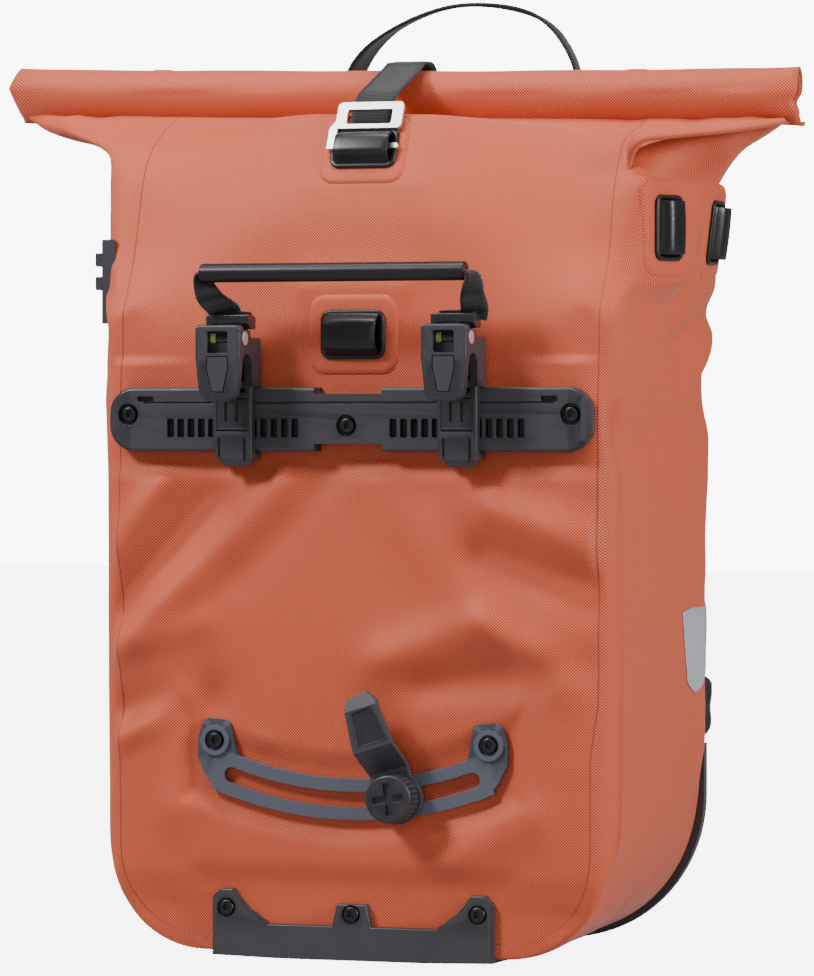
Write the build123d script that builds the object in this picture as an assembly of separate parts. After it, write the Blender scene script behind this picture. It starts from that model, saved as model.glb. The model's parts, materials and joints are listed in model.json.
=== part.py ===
"""Roll-top bicycle pannier that is also a backpack, one STEP file per sub-part, in millimetres.

Frame: the origin is on the ground under the middle of the bag, X to the right, Y from the rack
side to the wearer's side, Z up. The rack side faces -Y and carries the rail, the two hooks and
the lower fin; the harness is on the +Y side.
"""
import os
from math import cos, radians, sin, sqrt

from build123d import *

# bag body
WIDTH = 310.0
DEPTH = 180.0
FLOOR = 3.0
SHOULDER_Z = 385.0
CORNER_R = 58.0
REAR_CORNER_R = 86.0
EDGE_R = 8.0
WALL = 2.0
FRONT = -DEPTH / 2
BACK = DEPTH / 2
HALF = WIDTH / 2

# folded neck and roll: height, half depth and middle of each hexagonal level
NECK_LEVELS = [(SHOULDER_Z, 90.0, 0.0), (443.0, 82.0, 0.0), (487.0, 63.0, 2.0), (497.0, 17.0, 6.0)]
SEAM_X = 150.0
ROLL_LENGTH = 490.0
ROLL_R = 16.6
ROLL_Y = 6.0
ROLL_Z = 508.3

# rail
RAIL_HALF = 149.0
RAIL_LOW = 296.5
RAIL_HIGH = 333.7
RAIL_PROUD = 13.0
RAIL_FACE = FRONT - RAIL_PROUD
GROOVE = 3.0
SLOT_PITCH = 6.5
RAIL_SCREWS = [(-137.0, 318.0), (0.0, 311.5), (137.0, 318.0)]

# hooks, described about X = 0
HOOK_X = {"left": -69.0, "right": 70.0}
HOOK_HALF = 13.0
LEVER_HALF = 7.9
TUBE_R = 8.2
TUBE_Y, TUBE_Z = -117.3, 345.0
PIN_Y, PIN_Z, PIN_R = -123.0, 362.0, 2.0
SPRING_X = -6.3
TONGUE_FRONT, TONGUE_BACK = -132.0, -125.5
LOCK_Y, LOCK_Z, LOCK_R = -107.2, 310.5, 2.1
GAP = 0.3

# carrying handle on the rack side
GRIP_Y, GRIP_Z, GRIP_R, GRIP_HALF = -125.0, 400.0, 5.5, 81.5

# lower track and fin
ARC_Z, ARC_R = 320.0, 226.0
BAND, SLOT = 24.0, 9.0
TRACK_PROUD = 5.0
TRACK_ANGLE = 20.5
FIN_ANGLE = 7.6
FIN_LEAN = 17.0
PIVOT_X = ARC_R * sin(radians(FIN_ANGLE))
PIVOT_Z = ARC_Z - ARC_R * cos(radians(FIN_ANGLE))
TRACK_SCREWS = [(-85.0, 127.0), (85.0, 127.0)]

# guard and rear frame
GUARD_HALF = 87.0
GUARD_SCREWS = [(-78.0, 29.0), (0.0, 27.0), (78.0, 29.0)]
FRAME_THICK = 8.0
FRAME_SCREWS = [(-147.0, 108.0), (-70.0, 9.0), (70.0, 9.0), (147.0, 108.0)]

# fasteners
SCREW_R = 2.5
HEAD_R = 4.6
BOARD = 2.5

# harness
PAD_BACK = BACK + 14.0
WEB = 1.6
WEB_WIDTH = 25.0


def block(x0, x1, y0, y1, z0, z1):
    """A box between two corners."""
    middle = Pos((x0 + x1) / 2, (y0 + y1) / 2, (z0 + z1) / 2)
    return middle * Box(x1 - x0, y1 - y0, z1 - z0)


def front_prism(outline, y_front, y_back):
    """An outline drawn in X and Z, carried from y_back forwards to y_front."""
    plane = Plane(origin=(0, y_back, 0), x_dir=(1, 0, 0), z_dir=(0, -1, 0))
    return extrude(plane * outline, y_back - y_front)


def side_prism(outline, x0, x1):
    """An outline drawn in Y and Z, carried from x0 to x1."""
    plane = Plane(origin=(x0, 0, 0), x_dir=(0, 1, 0), z_dir=(1, 0, 0))
    return extrude(plane * outline, x1 - x0)


def face_of(*points):
    return make_face(Polyline(*points, close=True))


def rod_x(y, z, r, x0, x1):
    """A round bar along X."""
    return side_prism(Pos(y, z) * Circle(r), x0, x1)


def rod_y(x, z, r, y0, y1):
    """A round bar along Y."""
    return front_prism(Pos(x, z) * Circle(r), y0, y1)


def soften(part, edges, radius):
    """Round the given edges, and keep the part sharp where the rounding has no room."""
    try:
        return fillet(edges, radius)
    except Exception:
        return part


# fasteners ---------------------------------------------------------------------------------

def lobed_socket(r):
    """A six-lobed screwdriver recess."""
    socket = Circle(r * 0.72)
    for spot in PolarLocations(r * 0.72, 6):
        socket += spot * Circle(r * 0.26)
    return socket


def screw(x, z, seat, tip, way=1):
    """A pan-head screw along Y: its head sits on the plane y = seat and its tip is at y = tip."""
    top = seat - 3.0 * way
    head = rod_y(x, z, HEAD_R, min(top, seat), max(top, seat))
    head = soften(head, head.edges().filter_by(GeomType.CIRCLE).sort_by(Axis.Y)[0 if way > 0 else -1], 1.2)
    shaft = rod_y(x, z, SCREW_R, min(seat, tip), max(seat, tip))
    drive_end = top + 1.8 * way
    drive = front_prism(Pos(x, z) * lobed_socket(2.4), min(top, drive_end), max(top, drive_end))
    return head + shaft - drive


def nut(x, z, y0, y1):
    """A hexagon nut on a screw's inner end."""
    return front_prism(Pos(x, z) * (RegularPolygon(4.6, 6) - Circle(SCREW_R)), y0, y1)


def drill(part, spots, r, y0, y1):
    """Round holes along Y at each (x, z)."""
    for x, z in spots:
        part -= rod_y(x, z, r, y0, y1)
    return part


def front_screw_spots():
    return RAIL_SCREWS + TRACK_SCREWS + GUARD_SCREWS


# fabric shell ------------------------------------------------------------------------------

def bag_outline(inset, top, corner_r):
    """The bag seen from the rack side: straight sides and two large bottom corners."""
    low = FLOOR + inset
    outline = Pos(0, (low + top) / 2) * Rectangle(WIDTH - 2 * inset, top - low)
    return fillet(outline.vertices().group_by(Axis.Y)[0], corner_r - inset)


def bag_solid(inset, top, edge_r):
    """The closed body; its bottom corners are rounder at the rear than at the front."""
    ends = []
    for y, corner_r in ((FRONT + inset, CORNER_R), (BACK - inset, REAR_CORNER_R)):
        plane = Plane(origin=(0, y, 0), x_dir=(1, 0, 0), z_dir=(0, -1, 0))
        ends.append(plane * bag_outline(inset, top, corner_r))
    solid = loft(ends, ruled=True)
    rims = [e for e in solid.edges() if abs(abs(e.center().Y) - (DEPTH / 2 - inset)) < 0.01]
    rims = [e for e in rims if e.center().Z < top - 1]
    return fillet(rims, edge_r)


def body_panels():
    shell = bag_solid(0, SHOULDER_Z, EDGE_R) - bag_solid(WALL, SHOULDER_Z + 20, EDGE_R - WALL)
    shell = drill(shell, front_screw_spots(), SCREW_R, FRONT - 1, FRONT + 12)
    shell = drill(shell, FRAME_SCREWS[:1] + FRAME_SCREWS[3:], SCREW_R, BACK - 12, BACK + 1)
    seam = DEPTH / 2 - 10
    far = WIDTH
    corner = FLOOR + REAR_CORNER_R
    return {
        "front_panel": shell & block(-far, far, FRONT - 1, -seam, 0, far * 2),
        "rear_panel": shell & block(-far, far, seam, BACK + 1, 0, far * 2),
        "side_panel_left": shell & block(-far, 0, -seam, seam, corner, far * 2),
        "side_panel_right": shell & block(0, far, -seam, seam, corner, far * 2),
        "base_panel": shell & block(-far, far, -seam, seam, 0, corner),
    }


def neck_level(z, half_depth, middle, inset):
    """A six-sided ring of constant girth: the sides fold outwards as the bag gets thinner."""
    fold = sqrt(max(90.0 ** 2 - half_depth ** 2, 0))
    x, y = HALF - inset, half_depth - inset
    tip = HALF + fold - 1.3 * inset
    ring = face_of((-x, middle - y), (x, middle - y), (tip, middle), (x, middle + y), (-x, middle + y),
                   (-tip, middle))
    return Pos(0, 0, z) * ring


def neck_solid():
    return loft([neck_level(z, h, m, 0) for z, h, m in NECK_LEVELS], ruled=True)


def neck_panels():
    drops = [0.0, 0.6, 2.2, 1.8]
    inner = loft([neck_level(level[0] - drop, level[1], level[2], WALL)
                  for level, drop in zip(NECK_LEVELS, drops)], ruled=True)
    shell = neck_solid() - inner
    shell -= rod_x(ROLL_Y, ROLL_Z, ROLL_R, -ROLL_LENGTH / 2, ROLL_LENGTH / 2)
    far = 400
    return {
        "neck_front": shell & block(-SEAM_X, SEAM_X, -far, ROLL_Y, 0, far * 2),
        "neck_rear": shell & block(-SEAM_X, SEAM_X, ROLL_Y, far, 0, far * 2),
        "wing_left": shell & block(-far, -SEAM_X, -far, far, 0, far * 2),
        "wing_right": shell & block(SEAM_X, far, -far, far, 0, far * 2),
    }


def roll():
    """The rolled mouth with the stiffening strip that its first turn is wrapped round."""
    half = ROLL_LENGTH / 2
    strip = block(-half + 6, half - 6, ROLL_Y - 11, ROLL_Y + 11, ROLL_Z - 1.5, ROLL_Z + 1.5)
    tube = rod_x(ROLL_Y, ROLL_Z, ROLL_R, -half, half)
    tube -= block(-half - 1, half + 1, ROLL_Y - 11, ROLL_Y + 11, ROLL_Z - 1.5, ROLL_Z + 1.5)
    return {"roll_closure": tube, "roll_stiffener": strip}


def boards():
    """Stiffening boards inside the front and rear walls."""
    outline = Pos(0, 212) * RectangleRounded(270, 330, 30)
    front = front_prism(outline, FRONT + WALL, FRONT + WALL + BOARD)
    front = drill(front, RAIL_SCREWS + TRACK_SCREWS, SCREW_R, FRONT, FRONT + 12)
    rear = front_prism(outline, BACK - WALL - BOARD, BACK - WALL)
    return {"front_board": front, "back_board": rear}


# loops on welded patches -------------------------------------------------------------------

def loop_solid(long_side, short_side, patch_long, patch_short, rise=8.0):
    """A rubber loop whose tunnel runs along X, on a patch that lies on z = 0."""
    foot = short_side / 2
    shoulder = foot - 3.2
    arch = face_of((-foot, 1.0), (-foot, 2.6), (-shoulder - 1, rise - 1.0), (-shoulder + 1.5, rise),
                   (shoulder - 1.5, rise), (shoulder + 1, rise - 1.0), (foot, 2.6), (foot, 1.0))
    tunnel = Pos(0, rise / 2 - 0.7) * Rectangle(short_side - 9.0, rise - 3.4)
    loop = side_prism(arch - tunnel, -long_side / 2, long_side / 2)
    patch = extrude(RectangleRounded(patch_long, patch_short, 9), 1.0)
    return loop + patch


def centre_loop():
    plane = Plane(origin=(0, FRONT, 364.5), x_dir=(1, 0, 0), z_dir=(0, -1, 0))
    return plane.location * loop_solid(35, 24, 54, 46)


def shoulder_plane():
    """The leaning face under the roll, at the height of the closure loop."""
    (z0, h0, m0), (z1, h1, m1) = NECK_LEVELS[1], NECK_LEVELS[2]
    y0, y1 = m0 - h0, m1 - h1
    up = Vector(0, y1 - y0, z1 - z0).normalized()
    share = (473.0 - z0) / (z1 - z0)
    origin = Vector(0, y0 + (y1 - y0) * share, 473.0)
    return Plane(origin=origin, x_dir=(1, 0, 0), z_dir=Vector(1, 0, 0).cross(up))


def closure_loop():
    return shoulder_plane().location * loop_solid(36.5, 21, 58, 31)


def side_loop(side, fore, neck):
    """An upright loop on one half of the folded side, its patch packed out to the slope of the neck."""
    normal = Vector(side * 0.955, fore * 0.297, 0)
    plane = Plane(origin=(side * 172.0, fore * 42.0, 426.0), x_dir=(0, 0, 1), z_dir=normal)
    packing = Pos(0, 0, -10) * extrude(RectangleRounded(56, 48, 9), 10.5)
    return biggest(plane.location * (loop_solid(37, 24, 56, 48, 10.0) + packing) - neck)


def side_loops():
    """Two loops on the right side; on the left the webbing lock takes the place of the front one."""
    neck = neck_solid()
    right = [side_loop(1, fore, neck) for fore in (-1, 1)]
    return {"side_loops_right": Compound(children=right), "side_loop_left": side_loop(-1, 1, neck)}


def biggest(shape):
    return max(shape.solids(), key=lambda solid: solid.volume)


def reflectors():
    """A tapered reflective panel low on each side."""
    outline = face_of((44, 158), (52, 152), (66, 156), (80, 176), (81, 205), (34, 202))
    right = side_prism(fillet(outline.vertices(), 4), HALF, HALF + 1.0)
    left = side_prism(fillet(outline.vertices(), 4), -HALF - 1.0, -HALF)
    return Compound(children=[biggest(left), biggest(right)])


def side_buckle():
    """A webbing lock on the left wall with two bars for a strap."""
    x = -HALF
    plate = block(x - 11, x, -74, -50, 372, 422) - block(x - 6, x, -70, -54, 370, 424)
    for low in (392, 406):
        plate += block(x - 16, x - 10, -72, -52, low, low + 8)
    for low in (384, 401):
        plate -= block(x - 12, x - 2, -68, -56, low, low + 4)
    return biggest(plate - neck_solid())


# rail and hooks ----------------------------------------------------------------------------

def hook_rail():
    middle = (RAIL_LOW + RAIL_HIGH) / 2
    tall = RAIL_HIGH - RAIL_LOW
    outline = Pos(0, middle) * RectangleRounded(2 * RAIL_HALF, tall, 15)
    rail = front_prism(outline, RAIL_FACE, FRONT)
    rims = [e for e in rail.edges() if abs(e.center().Y - RAIL_FACE) < 0.01]
    rail = soften(rail, rims, 2.0)
    rail += front_prism(Pos(RAIL_HALF - 3, middle) * RectangleRounded(5, tall - 12, 2), RAIL_FACE - 1.2,
                        RAIL_FACE + 2)
    for z in (RAIL_HIGH - GROOVE, RAIL_LOW):
        rail -= block(-RAIL_HALF - 1, RAIL_HALF + 1, FRONT - 7.3, FRONT - 4, z, z + GROOVE)
    rail -= block(-20, 22, RAIL_FACE - 1, FRONT + 1, RAIL_HIGH - 3.7, RAIL_HIGH + 1)
    rail -= block(-20, 22, RAIL_FACE - 1, FRONT + 1, RAIL_LOW - 1, RAIL_LOW + 4.3)
    rail -= block(-RAIL_HALF + 22, RAIL_HALF - 22, RAIL_FACE - 1, RAIL_FACE + 0.8, 324.2, 325.4)
    for start, count in ((-110.0, 13), (29.0, 13)):
        for i in range(count):
            x = start + i * SLOT_PITCH
            rail -= front_prism(Pos(x, 310) * RectangleRounded(4.4, 11, 1.2), RAIL_FACE - 1, RAIL_FACE + 5)
    for x in (-126.0, 124.0):
        rail -= front_prism(Pos(x, 327) * RectangleRounded(10, 3, 0.8), RAIL_FACE - 1, RAIL_FACE + 3)
    for x, z in RAIL_SCREWS:
        rail -= rod_y(x, z, 6.4, RAIL_FACE - 1, RAIL_FACE + 4)
    return drill(rail, RAIL_SCREWS, SCREW_R, RAIL_FACE, FRONT + 1)


def tongue():
    """The outer finger of the hook, with an inset panel and a window over the spring."""
    outline = face_of((-13.9, 369.8), (13.9, 369.8), (13.9, 351), (11.2, 325.6), (-11.2, 325.6),
                      (-13.9, 351))
    low = outline.vertices().group_by(Axis.Y)[0]
    outline = fillet(low, 7)
    high = outline.vertices().group_by(Axis.Y)[-1]
    outline = fillet(high, 2.5)
    finger = front_prism(outline, TONGUE_FRONT, TONGUE_BACK)
    rims = [e for e in finger.edges() if abs(e.center().Y - TONGUE_FRONT) < 0.01]
    finger = soften(finger, rims, 1.5)
    panel = face_of((-7, 351.8), (7, 351.8), (7, 344), (3.8, 330.5), (-3.8, 330.5), (-7, 344))
    line = panel - offset(panel, amount=-0.8)
    finger -= front_prism(line, TONGUE_FRONT - 1, TONGUE_FRONT + 0.7)
    return finger - front_prism(Pos(0, 359.8) * RectangleRounded(13, 12.6, 1.5), TONGUE_FRONT - 1, TONGUE_BACK + 1)


def hook_cheeks():
    """Two side plates round the tube throat, a thin roof between them and room for the lever."""
    plates = block(-HOOK_HALF, HOOK_HALF, TONGUE_BACK - 1, -112, 340, 367)
    plates += block(-HOOK_HALF, HOOK_HALF, -112, -96, 334, 362.5)
    plates = soften(plates, plates.edges().filter_by(Axis.X).sort_by(Axis.Z)[-2:], 2.0)
    room = LEVER_HALF + GAP
    plates -= block(-room, room, TONGUE_BACK, -90, 320, 380)
    plates -= block(-20, 20, TUBE_Y - TUBE_R, TUBE_Y + TUBE_R, 320, TUBE_Z)
    roof = face_of((TUBE_Y, TUBE_Z), (TUBE_Y - 12, TUBE_Z), (TUBE_Y - 12, TUBE_Z + 12),
                   (TUBE_Y + 10, TUBE_Z + 12))
    plates += side_prism(roof, -room - 1, room + 1) & rod_x(TUBE_Y, TUBE_Z, TUBE_R + 1.4, -20, 20)
    return plates - rod_x(TUBE_Y, TUBE_Z, TUBE_R, -20, 20)


def rail_clamp():
    """The block in front of the rail, with a claw over its top edge and one under its bottom edge."""
    face, claw = RAIL_FACE - GAP, FRONT - 4.4
    side = face_of((face, 287.8), (-106.5, 287.8), (-109, 292), (-109, 337), (face, 337))
    clamp = side_prism(side, -12.25, 12.25)
    edges = clamp.edges().filter_by(Axis.Z).sort_by(Axis.Y)[:2]
    clamp = soften(clamp, edges, 1.5)
    clamp &= front_prism(face_of((-13, 340), (13, 340), (13, 294), (9, 287), (-5, 287), (-12, 299),
                                 (-13, 305)), -115, -95)
    clamp += block(-HOOK_HALF, HOOK_HALF, face, claw, RAIL_HIGH + GAP, 337)
    clamp += block(-HOOK_HALF, HOOK_HALF, claw - 2.5, claw, RAIL_HIGH - GROOVE + GAP, 337)
    clamp += block(-12.25, 12.25, face, claw, 292, RAIL_LOW - GAP)
    clamp += block(-12.25, 12.25, claw - 2.5, claw, 292, RAIL_LOW + GROOVE - GAP)
    room = LEVER_HALF + GAP
    clamp -= block(-room, room, -120, -90, 331, 340)
    clamp -= block(-9.6, 9.6, -112, LOCK_Y + LOCK_R + GAP, LOCK_Z - LOCK_R - GAP, 327.6)
    for x in (-8.0, 8.0):
        clamp -= block(x - 0.8, x + 0.8, -110, -108, 288, 304)
    return clamp - rod_x(LOCK_Y, LOCK_Z, 1.05, -11, 11)


def hook_body():
    body = tongue() + hook_cheeks() + rail_clamp()
    body -= rod_x(PIN_Y, PIN_Z, PIN_R, -20, 20)
    for x in (-HOOK_HALF - 2, HOOK_HALF):
        body -= rod_x(PIN_Y, PIN_Z, 4.0, x, x + 2)
    room = LEVER_HALF + GAP
    return body - rod_x(PIN_Y, PIN_Z, 4.5, -room, room)


def hook_lock():
    """The flap that fixes the hook on the rail, hinged on its own stubs at its lower edge."""
    back, high = LOCK_Y + LOCK_R, 327.2
    flap = block(-9.2, 9.2, LOCK_Y - LOCK_R, back, LOCK_Z, high)
    flap += rod_x(LOCK_Y, LOCK_Z, LOCK_R, -9.2, 9.2)
    flap += rod_x(LOCK_Y, LOCK_Z, 1.0, -10.6, 10.6)
    for x in (-3.4, 3.4):
        flap -= block(x - 1.1, x + 1.1, -112, LOCK_Y - LOCK_R + 1.2, LOCK_Z + 3, high - 2)
    return flap


def hook_lever():
    """The rocker between the cheeks: a cross bar for the handle webbing and a nose under the tube."""
    side = face_of((PIN_Y, 365.9), (-113, 368.5), (-104, 368.5), (-101.5, 362), (-101.5, 338.2),
                   (-104.8, 334.9), (-110, 333.2), (-116.5, 333.2), (-116.5, 336.2), (-110.4, 336.4),
                   (-108.6, 338.5), (-108.6, 350), (-112, 355.5), (-119, 358.1))
    lever = side_prism(side, -LEVER_HALF, LEVER_HALF)
    lever += rod_x(PIN_Y, PIN_Z, 4.0, -LEVER_HALF, LEVER_HALF)
    bar = face_of((-116, 370.6), (-116, 376), (-112, 376.3), (-104.5, 374.5), (-104.5, 367.5), (-112.5, 367.5))
    lever += side_prism(fillet(bar.vertices(), 1.0), -13.25, 13.25)
    lever += block(-4.6, 4.6, -119, -112, 366.5, 372)
    lever -= rod_x(PIN_Y, PIN_Z, PIN_R + 0.05, -20, 20)
    return lever - rod_x(PIN_Y, PIN_Z, 4.6, SPRING_X - 0.3, SPRING_X + 3.6)


def lever_pin():
    pin = rod_x(PIN_Y, PIN_Z, PIN_R, -HOOK_HALF - 1, HOOK_HALF + 1)
    for x in (-HOOK_HALF - 1.4, HOOK_HALF):
        pin += rod_x(PIN_Y, PIN_Z, 3.9, x, x + 1.4)
    return pin


def lever_spring():
    """The return spring, wound closely round the pin."""
    coil = None
    for i in range(3):
        turn = rod_x(PIN_Y, PIN_Z, 4.2, SPRING_X + i * 1.1, SPRING_X + (i + 1) * 1.1)
        turn = soften(turn, turn.edges().filter_by(GeomType.CIRCLE), 0.45)
        coil = turn if coil is None else coil + turn
    return coil - rod_x(PIN_Y, PIN_Z, PIN_R, -10, 10)


def hooks():
    makers = {"hook_body": hook_body, "hook_lock": hook_lock, "hook_lever": hook_lever,
              "lever_pin": lever_pin, "lever_spring": lever_spring}
    made = {}
    for name, maker in makers.items():
        shape = biggest(maker())
        for side, x in HOOK_X.items():
            made[name + "_" + side] = Pos(x, 0, 0) * shape
    return made


def grip():
    """The handle tube, and the webbing that leaves its ends for the levers."""
    tube = rod_x(GRIP_Y, GRIP_Z, GRIP_R, -GRIP_HALF, GRIP_HALF)
    tube = soften(tube, tube.edges().filter_by(GeomType.CIRCLE), 1.0)
    legs = []
    for side in (-1, 1):
        line = FilletPolyline((side * GRIP_HALF, GRIP_Z), (side * 95, GRIP_Z), (side * 97.5, 384),
                              (side * 84, 378.1), (side * 70, 378.1), radius=4)
        strip = trace(line, WEB)
        legs.append(biggest(front_prism(strip, GRIP_Y - 3, GRIP_Y + 17)))
    return {"grip_tube": tube, "grip_webbing": Compound(children=legs)}


# lower track, slider, fin and knob ---------------------------------------------------------

def arc_band(r_in, r_out, angle, middle=0.0):
    """A sector of a ring about the track's centre, in X and Z, angle each side of the middle."""
    steps = [middle - angle, middle, middle + angle]
    outer = [(r_out * sin(radians(a)), ARC_Z - r_out * cos(radians(a))) for a in steps]
    inner = [(r_in * sin(radians(a)), ARC_Z - r_in * cos(radians(a))) for a in steps]
    edge = Curve() + [ThreePointArc(*outer), Line(outer[-1], inner[-1]), ThreePointArc(*inner),
                      Line(inner[0], outer[0])]
    return make_face(edge)


def swing_track():
    band = arc_band(ARC_R - BAND / 2, ARC_R + BAND / 2, TRACK_ANGLE + 1.2)
    for side in (-1, 1):
        lug = face_of((side * 72, 93), (side * 72, 119), (side * 76, 139), (side * 92, 140), (side * 96, 128),
                      (side * 96, 116), (side * 91, 106), (side * 84, 97))
        band += fillet(lug.vertices(), 3.5)
    ends = Sketch() + [Pos(ARC_R * sin(radians(a)), ARC_Z - ARC_R * cos(radians(a))) * Circle(SLOT / 2)
                       for a in (-TRACK_ANGLE + 1.15, TRACK_ANGLE - 1.15)]
    slot = arc_band(ARC_R - SLOT / 2, ARC_R + SLOT / 2, TRACK_ANGLE - 1.15) + ends
    rear = arc_band(ARC_R - SLOT / 2 - 3, ARC_R + SLOT / 2 + 3, TRACK_ANGLE)
    track = front_prism(band, FRONT - TRACK_PROUD, FRONT)
    rims = [e for e in track.edges() if abs(e.center().Y - FRONT + TRACK_PROUD) < 0.01]
    track = soften(track, rims, 1.0)
    track -= front_prism(slot, FRONT - TRACK_PROUD - 1, FRONT + 1)
    track -= front_prism(rear, FRONT - 2, FRONT + 1)
    for x, z in TRACK_SCREWS:
        track += rod_y(x, z, 9.0, FRONT - TRACK_PROUD - 1.4, FRONT - 2)
        track -= rod_y(x, z, 6.2, FRONT - TRACK_PROUD - 2, FRONT - TRACK_PROUD + 1.6)
    return drill(track, TRACK_SCREWS, SCREW_R, FRONT - 12, FRONT + 1)


def fin_slider():
    """The block that runs in the track's slot, with its flange behind the slot and its stud."""
    face = FRONT - TRACK_PROUD
    r_in, r_out = ARC_R - SLOT / 2 + GAP, ARC_R + SLOT / 2 - GAP
    slider = front_prism(arc_band(r_in, r_out, 1.6, FIN_ANGLE), face - GAP, FRONT - 1.7)
    slider += front_prism(arc_band(r_in - 2.4, r_out + 2.4, 2.2, FIN_ANGLE), FRONT - 1.7, FRONT - GAP)
    slider += rod_y(PIVOT_X, PIVOT_Z, 12.0, face - 1.5, face - GAP)
    return slider + rod_y(PIVOT_X, PIVOT_Z, 3.0, -113, face - 1.5)


def fin():
    """The lower hook: a plate under the knob that steps out and rises clear of the bag."""
    side = face_of((-96.8, -16), (-96.8, 17.5), (-111.5, 32), (-111.5, 52), (-109.5, 62), (-112.5, 64.5),
                   (-115.5, 55), (-115.5, 30.5), (-100.6, 16.4), (-100.6, -16))
    plate = side_prism(side, -16, 16)
    outline = Circle(15.5) + face_of((-11.8, -5), (-12.4, 34), (-10.6, 56), (-8.2, 61.5), (4.5, 64), (9.6, 57),
                                   (12.2, 34), (11.8, -5))
    plate &= front_prism(outline, -130, -90)
    panel = face_of((-8.4, 34), (-7, 53), (4, 54), (7.6, 48), (8.6, 34))
    plate -= front_prism(panel, -117, -114.8)
    plate -= rod_y(0, 0, 3.05, -130, -90)
    return Pos(PIVOT_X, 0, PIVOT_Z) * Rot(0, -FIN_LEAN, 0) * biggest(plate)


def fin_knob():
    """The clamping knob: a ribbed disc with a cross-shaped recess for a coin."""
    disc = rod_y(0, 0, 14.0, -115, -100.9)
    disc = soften(disc, disc.edges().filter_by(GeomType.CIRCLE).sort_by(Axis.Y)[0], 1.6)
    for spot in PolarLocations(14.4, 28):
        disc -= front_prism(spot * Circle(0.9), -112.5, -100)
    cross = Rectangle(19, 4.2) + Rectangle(4.2, 19)
    disc -= front_prism(Rot(0, 0, 8) * cross, -116, -113.2)
    disc -= rod_y(0, 0, 3.05, -113.05, -100)
    return Pos(PIVOT_X, 0, PIVOT_Z) * disc


# guard and rear frame ----------------------------------------------------------------------

def base_guard():
    """The scuff guard along the lower front edge, with three screw lugs."""
    strip = face_of((-GUARD_HALF, 1), (-45, 0), (45, 0), (GUARD_HALF, 1), (GUARD_HALF, 35), (82, 40),
                    (74, 40), (66, 30), (52, 20), (12, 20), (9, 33), (-9, 33), (-12, 20), (-52, 20),
                    (-66, 30), (-74, 40), (-82, 40), (-GUARD_HALF, 35))
    guard = front_prism(strip, FRONT - 5, FRONT)
    rims = [e for e in guard.edges() if abs(e.center().Y - FRONT + 5) < 0.01 and e.center().Z > 3]
    guard = soften(guard, rims, 1.2)
    under = face_of((-GUARD_HALF, 1), (-45, 0), (45, 0), (GUARD_HALF, 1), (GUARD_HALF, 3), (-GUARD_HALF, 3))
    guard += front_prism(under, FRONT - 5, FRONT + 42)
    for x, z in GUARD_SCREWS:
        guard -= rod_y(x, z, 5.6, FRONT - 6, FRONT - 3)
    return drill(guard, GUARD_SCREWS, SCREW_R, FRONT - 6, FRONT + 1)


def rear_edge_frame():
    """A plastic rim round the lower rear edge that carries the harness and stands on the ground."""
    far = WIDTH
    rim = bag_outline(-3, 200, REAR_CORNER_R) - bag_outline(12, 200, REAR_CORNER_R)
    rim = rim & Pos(0, 60) * Rectangle(far * 2, 120)
    frame = front_prism(rim, BACK, BACK + FRAME_THICK)
    edges = [e for e in frame.edges() if abs(e.center().Y - BACK - FRAME_THICK) < 0.01]
    frame = soften(frame, edges, 2.0)
    for side in (-1, 1):
        frame += block(min(side * 58, side * 80), max(side * 58, side * 80), BACK - 26, BACK + 4, 0, FLOOR)
    for x, z in FRAME_SCREWS:
        frame -= rod_y(x, z, 5.2, BACK + FRAME_THICK - 3.4, BACK + FRAME_THICK + 1)
    return drill(frame, FRAME_SCREWS, SCREW_R, BACK - 1, BACK + FRAME_THICK)


def all_screws():
    seats = {"rail_screws": (RAIL_SCREWS, RAIL_FACE + 4, FRONT + 10),
             "track_screws": (TRACK_SCREWS, FRONT - TRACK_PROUD + 1.6, FRONT + 10),
             "guard_screws": (GUARD_SCREWS, FRONT - 3, FRONT + 8)}
    made = {name: Compound(children=[screw(x, z, seat, tip) for x, z in spots])
            for name, (spots, seat, tip) in seats.items()}
    seat = BACK + FRAME_THICK - 3.4
    tips = [BACK - 8 if z > 50 else BACK + 1 for x, z in FRAME_SCREWS]
    made["frame_screws"] = Compound(children=[screw(x, z, seat, tip, -1)
                                              for (x, z), tip in zip(FRAME_SCREWS, tips)])
    inside = FRONT + WALL
    nuts = [nut(x, z, inside + BOARD, inside + BOARD + 4) for x, z in RAIL_SCREWS + TRACK_SCREWS]
    nuts += [nut(x, z, inside, inside + 4) for x, z in GUARD_SCREWS]
    made["inner_nuts"] = Compound(children=nuts)
    return made


# closure strap and buckle ------------------------------------------------------------------

def closure_buckle():
    """A flat hook buckle: a strap window above, and an open lower bar that goes through the loop."""
    frame = Pos(0, 20.4) * RectangleRounded(41, 17.4, 3) - Pos(0, 19.4) * RectangleRounded(28, 9.6, 1.5)
    leg = face_of((-23.8, -1.6), (-18.8, -1.6), (-18.8, 11.4), (-15.5, 14), (-19.5, 18), (-23.8, 12))
    bar = Pos(-1.6, 0) * RectangleRounded(44.4, 3.2, 1.5)
    buckle = extrude(frame + leg + bar, 2.8)
    return shoulder_plane().location * Pos(0, 0, 2.2) * buckle


def closure_strap():
    """Webbing from the rear of the neck, over the roll and down to the buckle's upper bar."""
    reach = ROLL_R + GAP + WEB / 2
    path = FilletPolyline((-57.5, 506.5), (ROLL_Y - 14, ROLL_Z + reach), (ROLL_Y + reach, ROLL_Z + reach),
                          (ROLL_Y + reach, 498.2), (62, 489.2), radius=[10, 16, 5])
    return side_prism(trace(path, WEB), -WEB_WIDTH / 2, WEB_WIDTH / 2)


# harness -----------------------------------------------------------------------------------

def mirrored(right):
    """The right-hand piece and its twin on the left."""
    return {"left": mirror(right, about=Plane.YZ), "right": right}


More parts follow.
